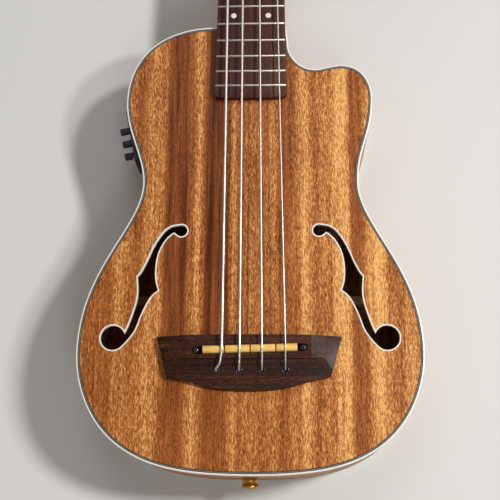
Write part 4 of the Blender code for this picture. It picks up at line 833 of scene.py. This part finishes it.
def heel_rings():
    rings = []
    for share in (0, 0.15, 0.3, 0.42, 0.55, 0.65, 0.75, 0.83, 0.9, 0.95, 0.985, 1):
        y = JOIN_Y + 0.1 + HEEL_LENGTH * share
        foot = HEEL_HALF_WIDTH * math.sqrt(1 - share ** 2)
        rings.append(neck_section(y, board_half_width(y), TOP, TOP, foot, 1))
    for share in (0.03, 0.06, 0.11, 0.16, 0.23, 0.3, 0.39, 0.48, 0.59, 0.7, 0.85, 1):
        y = JOIN_Y + HEEL_LENGTH + HEEL_SWEEP * share
        depth = NECK_DEPTH + (TOP - NECK_DEPTH) * (1 - share) ** 2.6
        rings.append(neck_section(y, board_half_width(y), TOP, depth, 0, 1 - share ** 0.5))
    return rings


def make_neck():
    rings = heel_rings()
    for y in np.linspace(SCALE_LENGTH - 170, HEAD_Y, 6):
        depth = NECK_DEPTH + (NECK_DEPTH_AT_NUT - NECK_DEPTH) * (y - JOIN_Y) / (HEAD_Y - JOIN_Y)
        rings.append(neck_section(y, board_half_width(y), TOP, depth))
    lean = math.radians(HEAD_LEAN)
    head_depth = HEAD_THICKNESS / math.cos(lean) - 0.6
    for share in (0.15, 0.3, 0.45, 0.6, 0.8, 1):
        run = HEAD_BLEND * share
        depth = NECK_DEPTH_AT_NUT + (head_depth - NECK_DEPTH_AT_NUT) * share
        top = TOP - run * math.tan(lean) - 0.3 * share
        rings.append(neck_section(HEAD_Y + run, head_half_width(run) - 0.2, top, depth, head_share=share))
    neck = skin("neck_wood", rings)
    head = eased(slab("head_wood", [head_loop(9.8)], -HEAD_THICKNESS, 0, HEAD_FRAME), 0.8, 3)
    worked(neck, [head], "UNION")
    cutters = [block("heel_cut", (-60, JOIN_Y - 5, -5), (60, JOIN_Y + 80, HEEL_CAP_HEIGHT)),
               block("bar_cut", *BAR_SLOT)]
    worked(neck, post_cutters(-30) + cutters)
    fitted(neck, neck_mahogany, stands_for=("neck",))
    cap = skin("heel_cap_wood", heel_rings())
    worked(cap, [block("cap_trim", (-60, JOIN_Y - 5, HEEL_CAP_HEIGHT), (60, JOIN_Y + 80, 90))])
    fitted(eased(cap, 0.3), board_rosewood, stands_for=("heel_cap",))
    veneer = eased(slab("head_veneer", [head_loop(0.3)], 0, VENEER_TOP, HEAD_FRAME), 0.35)
    worked(veneer, post_cutters(-5))
    fitted(veneer, board_rosewood, stands_for=("headstock_veneer",))


make_neck()
# extruded aluminium: an even dull grey with a soft glint, hidden in the neck
dressed(metal("extruded_aluminium", "#B9BBBD", 0.35), "neck_bar")


# Fingerboard
# A flat rosewood board with 16 nickel silver frets pressed into sawn slots, and pearl dots. Its
# round-cornered end lies on the soundboard. Small white dots mark the bass edge.

BOARD_TOP = 77.3
FRETS = 16
BOARD_OVERHANG = 10     # from the last fret to the board's end
CORNER_RADIUS = 4.5
TWELFTH_DOTS_Y = 272.3
# dressed nickel silver: warm white, with a broad soft glint along each wire
fret_metal = metal("nickel_silver", "#EFEAE0", 0.32, 0.03)
# pearl ground flush: pale, with drifting clouds and a wet gloss
pearl = mottled("mother_of_pearl", ("#B3AAA6", "#E9E1DB"), 3.33,
                {"Roughness": 0.25, "Coat Weight": 0.5, "Coat Roughness": 0.1}, detail=2, distortion=2.5)


def fret_y(fret):
    return SCALE_LENGTH * 2 ** (-fret / 12)


def make_board():
    end = fret_y(FRETS) - BOARD_OVERHANG
    wide = board_half_width(end)
    corner = arc((wide - CORNER_RADIUS, end + CORNER_RADIUS), CORNER_RADIUS, 0, -90, 12)
    bow = [(x, end - 0.6 * (1 - (x / wide) ** 2)) for x in np.linspace(wide * 0.7, -wide * 0.7, 9)]
    right = [(NUT_HALF_WIDTH, SCALE_LENGTH), *corner]
    loop = [*right, *bow, *[(-x, y) for x, y in reversed(right)]]
    board = slab("fingerboard_wood", [loop[::-1]], TOP, BOARD_TOP)
    eased(board, 0.35, 2, 50)
    fitted(board, board_rosewood, stands_for=("fingerboard",))


def make_fret(fret):
    """A domed wire across the board, whose ends are filed down in two steps."""
    y = fret_y(fret)
    reach = board_half_width(y) - 0.2
    dome = arc((0, -0.3), 0.95, 0, 180, 13, rise=1.28)
    rings = [[(side * (reach - pull), y + dy, BOARD_TOP + max(dz - drop, -0.32)) for dy, dz in dome]
             for side in (-1, 1) for pull, drop in ((0, 0.85), (0.4, 0.35), (0.9, 0))]
    fitted(skin("fret_wire_%02d" % fret, rings[:3] + rings[:2:-1], sharp=60), fret_metal)


def make_dots():
    dots = [(0, fret) for fret in (3, 5, 7, 9)] + [(-14.1, 12), (14.0, 12)]
    for index, (x, fret) in enumerate(dots):
        y = TWELFTH_DOTS_Y if fret == 12 else (fret_y(fret) + fret_y(fret - 1)) / 2
        dot = lathe("dot_%02d" % index, [(2.25, -1.0), (2.25, 0.03), (2.1, 0.06)], moved(x, y, BOARD_TOP))
        fitted(dot, pearl)
    for index, (shift, fret) in enumerate([(0, 3), (0, 5), (0, 7), (0, 9), (-3, 12), (3, 12)]):
        y = (fret_y(fret) + fret_y(fret - 1)) / 2 + shift
        seat = moved(-board_half_width(y) + 0.02, y, 74.9) @ turned(-90, "Y")
        dot = lathe("side_dot_%02d" % index, [(0.9, -0.8), (0.9, 0.04), (0.8, 0.07)], seat)
        fitted(dot, celluloid)


make_board()
for board_fret in range(1, FRETS + 1):
    make_fret(board_fret)
make_dots()


# Nut
# A strip of bleached bone at the end of the board, sloped towards the headstock, with one round
# groove for each string.

NUT_START, NUT_END = 530.05, 535.3
GROOVE_Y = 530.3
GROOVE_SLOPE = 6.5
# bleached bone, filed: off-white, close and even, with a soft sheen
nut_bone = moulded("bleached_bone", ("#DDD5C2", "#F2ECDD"), 3.85, 0.4)


def string_height(radius, y):
    """Height of a string's middle between nut and saddle."""
    at_nut, at_saddle = 78.9 + radius, SADDLE_CROWN + 0.3 + radius
    return at_nut + (at_saddle - at_nut) * (SCALE_LENGTH - y) / (SCALE_LENGTH - SADDLE_Y)


def make_nut():
    low, high = NUT_START, NUT_END
    section = [(low, TOP), (high, TOP), (high, 78.4), (high - 0.4, 79.0), (high - 1.4, 79.55),
               (high - 3, 79.95), (low + 0.5, 80.1), (low, 79.9)]
    rings = [[(side * NUT_HALF_WIDTH, y, z) for y, z in section] for side in (-1, 1)]
    nut = skin("nut_bone", rings, sharp=50)
    eased(nut, 0.25, 2, 60)
    grooves = []
    for gauge, nut_x, saddle_x, anchor_x in STRINGS.values():
        radius = gauge / 2 + 0.06
        seat = moved(nut_x, GROOVE_Y, string_height(gauge / 2, GROOVE_Y)) @ turned(-90 - GROOVE_SLOPE, "X")
        loop = [(-radius, -6), *arc((0, 0), radius, 180, 0, 15), (radius, -6)]
        grooves.append(slab("groove_cut", [loop], -9, 9, seat))
    worked(nut, grooves)
    fitted(nut, nut_bone, stands_for=("nut",))


make_nut()


# Strings
# Four wound steel strings. Each rises from its eyelet over the saddle, crosses the nut and winds
# down its post from the inner side, to the mouth of the post's hole.

WRAPS = 2.25
WRAP_GAP = 0.5
FIRST_WRAP = 11.5      # top of the first wrap above the headstock
LASHED_RINGS = 22      # rings of the wire that the winding of the ball end makes thicker


def wound_steel():
    """Round-wound wire: fine ribs across the string, which break the glint into dashes. The grooves
    between the turns are coloured darker than the crests: painted shade in the grooves.

    Real turns are 0.3 mm wide; these are 0.5 mm, so that they show.
    """
    made, tree, shader = new_finish("wound_steel", {"Metallic": 1.0, "Roughness": 0.3})
    turns_and_painted_groove_shade = add_node(tree, "TexWave", {"Vector": rib_place(tree), "Scale": math.tau / 20 / (0.5 * MM),
                                      "Distortion": 0}, bands_direction="Y").outputs["Fac"]
    # the colour is darker in the grooves and lighter on the crests: painted shade between the turns
    tone = add_node(tree, "Mix", {0: turns_and_painted_groove_shade, 6: linear("#DAD6D0"), 7: linear("#FBF9F6")},
                    data_type="RGBA")
    bump = add_node(tree, "Bump", {"Height": turns_and_painted_groove_shade, "Strength": 0.3, "Distance": 0.06 * MM})
    set_inputs(shader, {"Base Color": tone, "Normal": bump})
    return made


string_steel = wound_steel()


def tube(name, path, radius):
    """A round wire along a path, with UVs along its length. Its first rings are lashed."""
    sides = 16
    rings, run = [], [0]
    side = (path[1] - path[0]).orthogonal()
    for index, spot in enumerate(path):
        ahead = (path[min(index + 1, len(path) - 1)] - path[max(index - 1, 0)]).normalized()
        side = (side - ahead * side.dot(ahead)).normalized()
        over = ahead.cross(side)
        thick = radius * (1.22 if index < LASHED_RINGS else 1)
        rings.append([spot + (side * math.cos(a) + over * math.sin(a)) * thick
                      for a in np.linspace(0, math.tau, sides, False)])
        if index:
            run.append(run[-1] + (spot - path[index - 1]).length)
    girth = [radius * math.tau * step / sides for step in range(sides + 1)]
    return skin(name, rings, sharp=60, lengths=(run, girth))


def make_string(name):
    gauge, nut_x, saddle_x, anchor_x = STRINGS[name]
    radius = gauge / 2
    saddle_y = SADDLE_Y + (saddle_x - SADDLE_X) * math.tan(math.radians(SADDLE_SKEW))
    crown = SADDLE_CROWN + radius
    out_of_eyelet = [Vector((anchor_x, ANCHOR_Y + y, SHELF + z))
                     for y, z in ((0, -5), (0, -3), (0.2, -1.5), (1.3, -0.2))]
    rise = Vector((0.36 * anchor_x + 0.64 * saddle_x, 0.67 * ANCHOR_Y + 0.33 * saddle_y,
                   0.5 * (SHELF + crown)))
    saddle = Vector((saddle_x, saddle_y, crown))
    path = curve_through([*out_of_eyelet, rise, saddle + Vector((0, -1.6, -0.35)), saddle], 6)[:-1]
    nut_y = NUT_START + 0.75
    nut = Vector((nut_x, nut_y, string_height(radius, nut_y)))
    path += [saddle.lerp(nut, share) for share in np.linspace(0, 1, 40)]
    side, post_y = POSTS[name]
    coil = 3.45 + radius
    turns = []
    for angle in np.linspace(0, WRAPS * math.tau, round(WRAPS * 48) + 1):
        sink = radius + (gauge + WRAP_GAP) * angle / math.tau
        turns.append(HEAD_FRAME @ Vector((side * (POST_X - coil * math.cos(angle)),
                                          post_y + coil * math.sin(angle), FIRST_WRAP - sink)))
    behind_nut = nut + Vector((0, 2.5, -0.25))
    path += [behind_nut.lerp(turns[0], share) for share in np.linspace(0, 1, 8)[:-1]] + turns
    fitted(tube("wire_" + name, path, radius), string_steel, stands_for=("string_" + name,))


for string in STRINGS:
    make_string(string)


# Tuning machines
# Open gears: a stamped plate with two lugs under the headstock, a worm on the key's shaft, and a
# wheel of 16 teeth screwed to the post. The post turns in a pressed ferrule.

WHEEL_Z = -18.4
WHEEL_HALF_THICKNESS = 1.5
WHEEL_TEETH = 16
WORM_OFFSET = 9.7
WORM_PITCH = 2.749
PLATE_BOTTOM, PLATE_TOP = -14.8, -13.05
# nickel plate over steel: cool bright metal that mirrors the room in soft patches
chrome = metal("nickel_plate", "#C6C4C0", 0.14)


def rounded_box(x0, y0, x1, y1, radius):
    """A rectangle's loop from two corners and a corner radius."""
    loop = []
    for x, y, start in ((x1, y1, 0), (x0, y1, 90), (x0, y0, 180), (x1, y0, 270)):
        middle = (x - math.copysign(radius, x - (x0 + x1) / 2), y - math.copysign(radius, y - (y0 + y1) / 2))
        loop += arc(middle, radius, start, start + 90, 8)
    return loop


def make_screw(name, place, radius=1.5):
    """A small cross-slotted screw head, round on top."""
    head = lathe(name, [(radius, -0.3), (radius, 0.25), (radius * 0.86, 0.55), (radius * 0.55, 0.78),
                        (radius * 0.2, 0.86)], place, 24)
    return worked(head, [block("slot", (-a * radius, -b * radius, 0.35), (a * radius, b * radius, 2), place)
                         for a, b in ((0.65, 0.14), (0.14, 0.65))])


def make_plate(name):
    """The ferrule from above, the plate from below with its two screws, and the lugs on it."""
    seat = post_seat(name)
    ferrule = lathe("ferrule_" + name, [
        (4.12, -4), (POST_BORE, -4), (POST_BORE, VENEER_TOP), (5.9, VENEER_TOP), (5.9, 2.2), (5.5, 2.5),
        (4.6, 2.6), (4.12, 2.5)], seat, closed=True)
    fitted(ferrule, chrome)
    plate = slab("gear_plate_" + name, [rounded_box(-7.6, -14.9, 7.6, 9, 2)], PLATE_BOTTOM, PLATE_TOP, seat)
    worked(plate, [lathe("hole", [(POST_BORE, -30), (POST_BORE, 0)], seat)])
    eased(plate, 0.25)
    shaft_frame = seat @ moved(0, -WORM_OFFSET, WHEEL_Z) @ turned(90, "Y")
    outline = [(-4, -3.2), (-4, 3.2), *arc((0, 0), 3.2, 90, -90, 16)]
    for end, word in ((-1, "left"), (1, "right")):
        low, high = sorted((end * 6.2, end * 7.6))
        lug = slab("lug_%s_%s" % (name, word), [outline[::-1]], low, high, shaft_frame)
        worked(lug, [lathe("bore", [(1.75, -9), (1.75, 9)], shaft_frame)])
        fitted(eased(lug, 0.2), chrome)
    fitted(plate, chrome, stands_for=("tuner_plate_" + name,))
    for index, x in enumerate((-5.4, 5.4)):
        flip = seat @ moved(x, 6.7, PLATE_BOTTOM) @ turned(180, "X")
        fitted(make_screw("plate_screw_%s_%d" % (name, index + 1), flip), chrome)


def make_post(name):
    seat, body = post_seat(name), "post_" + name
    gauge = STRINGS[name][0]
    post = lathe("string_post_" + name, [
        (2.6, WHEEL_Z - 1.6), (2.6, WHEEL_Z), (4, WHEEL_Z), (4, 2.9), (3.4, 3.4), (3.4, 11.9), (4, 12.9),
        (4, 15.3), (3.8, 15.75), (3.3, 16)], seat)
    hole_z = FIRST_WRAP - gauge / 2 - (gauge + WRAP_GAP) * WRAPS
    bore = [(gauge / 2 + 0.2, -9), (gauge / 2 + 0.2, 9)]
    worked(post, [lathe("hole", bore, seat @ moved(0, 0, hole_z) @ turned(90, "X"))])
    fitted(eased(post, 0.15), chrome, body, (body,))
    step = 360 / WHEEL_TEETH
    flank = ((0.36, 6.05), (0.25, 6.5), (0.13, 7.25), (0.06, 7.35))
    tooth = [(-share, radius) for share, radius in flank] + list(flank[::-1])
    loop = [arc((0, 0), radius, -90 + (index + 0.5 + share) * step, 0, 1)[0]
            for index in range(WHEEL_TEETH) for share, radius in tooth]
    low, high = WHEEL_Z - WHEEL_HALF_THICKNESS, WHEEL_Z + WHEEL_HALF_THICKNESS
    fitted(eased(slab("gear_wheel_" + name, [loop], low, high, seat), 0.12), brass, body)
    flip = seat @ moved(0, 0, low) @ turned(180, "X")
    fitted(make_screw("wheel_screw_" + name, flip, 2.2), chrome, body)


def make_key(name):
    """The shaft with its worm, and the button, which is a flattened oval."""
    seat, body = post_seat(name) @ moved(0, -WORM_OFFSET, WHEEL_Z), "key_" + name
    if POSTS[name][0] < 0:
        seat = seat @ turned(180, "Y")
    shaft = lathe("key_shaft_" + name, [
        (1.3, -8.6), (1.6, -8.3), (1.6, -5.9), (2.0, -5.9), (2.0, 5.9), (1.6, 5.9), (1.6, 7.9), (2.2, 7.9),
        (2.5, 8.4), (2.5, 9.2), (2.2, 9.7), (2.2, 15.5), (2.7, 16.2), (2.7, 18)], seat @ turned(90, "Y"))
    rings = []
    for step in range(-60, 61):
        angle = math.tau * step / 48
        crest = 1.8 + 1.5 * min(1, 3 * (60 - abs(step)) / 60 + 0.05)
        rings.append([((step / 48 + share) * WORM_PITCH, radius * math.cos(angle), radius * math.sin(angle))
                      for share, radius in ((-0.30, 1.8), (-0.13, crest), (0.13, crest), (0.30, 1.8))])
    fitted(skin("worm_" + name, rings, place=seat, sharp=40), chrome, body)
    fitted(shaft, chrome, body, (body,))
    rings = []
    for t in np.linspace(-1, 1, 25):
        swell = math.sqrt(max(1 - t * t, 0.0009))
        rings.append([(24 + 9 * t, 7 * swell ** 0.75 * math.copysign(abs(math.cos(a)) ** 0.9, math.cos(a)),
                       3.2 * swell ** 0.8 * math.copysign(abs(math.sin(a)) ** 0.9, math.sin(a)))
                      for a in np.linspace(0, math.tau, 40, False)])
    fitted(skin("button_" + name, rings, place=seat), chrome, body)


for string in POSTS:
    make_plate(string)
    make_post(string)
    make_key(string)


# Preamp
# A black moulded panel screwed over an opening in the bass side. Three ribbed knobs stand in a
# row over a press key and a drawer for two coin cells.

PANEL_FRAME = moved(-97.5987, 179.949, 33) @ turned(-78.4544, "Z") @ turned(90, "X")    # Z out of the rib
PANEL_FACE = 2.2
KNOBS = {"volume_knob": -11.3, "bass_knob": 0, "treble_knob": 11.3}
PRESS_KEY_SEAT = PANEL_FRAME @ moved(16, -9.4, 0)
DRAWER_SEAT = PANEL_FRAME @ moved(-3.5, -9.4, 0)
# moulded ABS: matt charcoal with a pebbled grain; the real pebbles are 0.2 mm wide, these 0.7 mm
case_plastic = moulded("grained_abs", ("#0C0C0D", "#1B1B1C"), 0.714, 0.5, bump=0.3)
# moulded rubber: flat black that hardly glints, so the ribs show by their shadows
knob_rubber = moulded("knob_rubber", ("#0B0B0B", "#161616"), 1.11, 0.55)
# printed white paint: an even pale line
paint_white = moulded("white_paint", ("#C9C9C6", "#DEDEDA"), 1.43, 0.5)
# polished smoked acrylic: near black, with a sharp reflection
smoked_lens = moulded("smoked_lens", ("#050607", "#0A0D0F"), 5, 0.08)
# stainless cell cans: grey, with a soft uneven glint
cell_steel = metal("cell_steel", "#B8B8B6", 0.25)


def make_panel():
    panel = slab("panel_face", [rounded_box(-23, -17, 23, 17, 3)], -0.25, PANEL_FACE, PANEL_FRAME)
    eased(panel, 0.6, 3)
    cutters = [slab("key_cut", [rounded_box(-2.8, -2.8, 2.8, 2.8, 0.8)], -9, 9, PRESS_KEY_SEAT),
               slab("tray_cut", [rounded_box(-12.3, -4.1, 12.3, 4.1, 0.6)], -9, 9, DRAWER_SEAT)]
    cutters += [lathe("bore", [(1.8, -9), (1.8, 9)], PANEL_FRAME @ moved(x, 0, 0)) for x in KNOBS.values()]
    worked(panel, cutters)
    fitted(panel, case_plastic, stands_for=("preamp_panel",))
    for index, (x, y) in enumerate(((-20.3, -14.3), (20.3, -14.3), (-20.3, 14.3), (20.3, 14.3))):
        screw = make_screw("panel_screw_%d" % (index + 1), PANEL_FRAME @ moved(x, y, PANEL_FACE), 1.4)
        fitted(screw, chrome)
    lens = slab("display_window", [rounded_box(-6.5, -2.6, 6.5, 2.6, 0.7)], 2.0, 2.45,
                PANEL_FRAME @ moved(0, 10.2, 0))
    fitted(eased(lens, 0.2), smoked_lens)


def make_knob(name, x):
    """A cap with 18 grooves and a white line, on a steel stem."""
    seat = PANEL_FRAME @ moved(x, 0, 0)
    rings = []
    for radius, height, depth in ((2.35, 2.5, 0), (2.85, 3.1, 0.2), (3, 3.6, 1), (3, 9.9, 1),
                                  (2.95, 10.5, 0.6), (2.7, 10.95, 0.1), (2.3, 11.1, 0), (1.9, 10.85, 0)):
        ring = []
        for angle in np.linspace(0, math.tau, 144, False):
            r = radius - 0.16 * depth * (0.5 + 0.5 * math.cos(18 * angle)) ** 3
            ring.append((r * math.cos(angle), r * math.sin(angle), height))
        rings.append(ring)
    fitted(skin(name + "_cap", rings, place=seat, sharp=50), knob_rubber, name, (name,))
    fitted(lathe(name + "_stem", [(1.5, -7), (1.5, 2.8)], seat, 24), chrome, name)
    line = block(name + "_pointer", (-0.22, 1.0, 10.6), (0.22, 2.75, 11.08), seat)
    fitted(eased(line, 0.08), paint_white, name)


def make_key_and_drawer():
    key = slab("press_key", [rounded_box(-2.5, -2.5, 2.5, 2.5, 0.7)], -3, 3.1, PRESS_KEY_SEAT)
    fitted(eased(key, 0.4, 3), knob_rubber, "tuner_key", ("tuner_key",))
    drawer = eased(slab("cell_drawer", [rounded_box(-12, -3.8, 12, 3.8, 0.5)], -26, 3, DRAWER_SEAT), 0.25)
    lie = DRAWER_SEAT @ moved(0, 0, -13) @ turned(-90, "X")
    worked(drawer, [lathe("pocket", [(10.3, -2.5), (10.3, 9)], lie, 64),
                    slab("grip_cut", [rounded_box(-4, -5, 4, -2.6, 0.6)], 1.9, 9, DRAWER_SEAT)])
    fitted(drawer, case_plastic, "battery_tray", ("battery_tray",))
    cells = lathe("coin_cells", [
        (9.4, -2.2), (9.8, -2.1), (10, -1.8), (10, 0.35), (9.6, 0.5), (9.1, 0.62), (9.1, 0.9), (9.7, 1.0),
        (10, 1.2), (10, 3.3), (9.8, 3.7), (9.4, 3.8)], lie, 64)
    fitted(cells, cell_steel, "battery_tray", ("battery",))


make_panel()
dressed(case_plastic, "preamp_case")
for knob_name, knob_x in KNOBS.items():
    make_knob(knob_name, knob_x)
make_key_and_drawer()


# End jack and leads
# A nickel barrel through the tail block, held by a brass nut that is turned as a strap button.
# Two thin black leads join pickup, preamp and jack inside the body.

def make_jack():
    barrel = lathe("jack_tube", [
        (3.3, -22.5), (3.3, 6.2), (3.6, 6.7), (4.4, 6.7), (4.7, 6.4), (4.7, -16.7), (6.8, -16.7),
        (6.8, -33.7), (6.5, -34), (3.3, -34)], JACK_FRAME, 48, closed=True)
    fitted(barrel, chrome, stands_for=("jack_barrel",))
    nut = lathe("strap_nut", [
        (4.75, 0), (4.75, 7.2), (5.0, 7.5), (5.7, 7.5), (6.15, 7.3), (6.4, 6.8), (6.4, 5.6), (6.2, 5.1),
        (5.75, 4.6), (5.6, 4.1), (5.6, 2.9), (5.7, 2.5), (5.95, 2.15), (6.0, 1.9), (6.0, 0.3), (5.9, 0)],
        JACK_FRAME, 48, closed=True)
    fitted(nut, brass, stands_for=("jack_nut",))


make_jack()
dressed(case_plastic, "pickup_lead", "jack_lead")
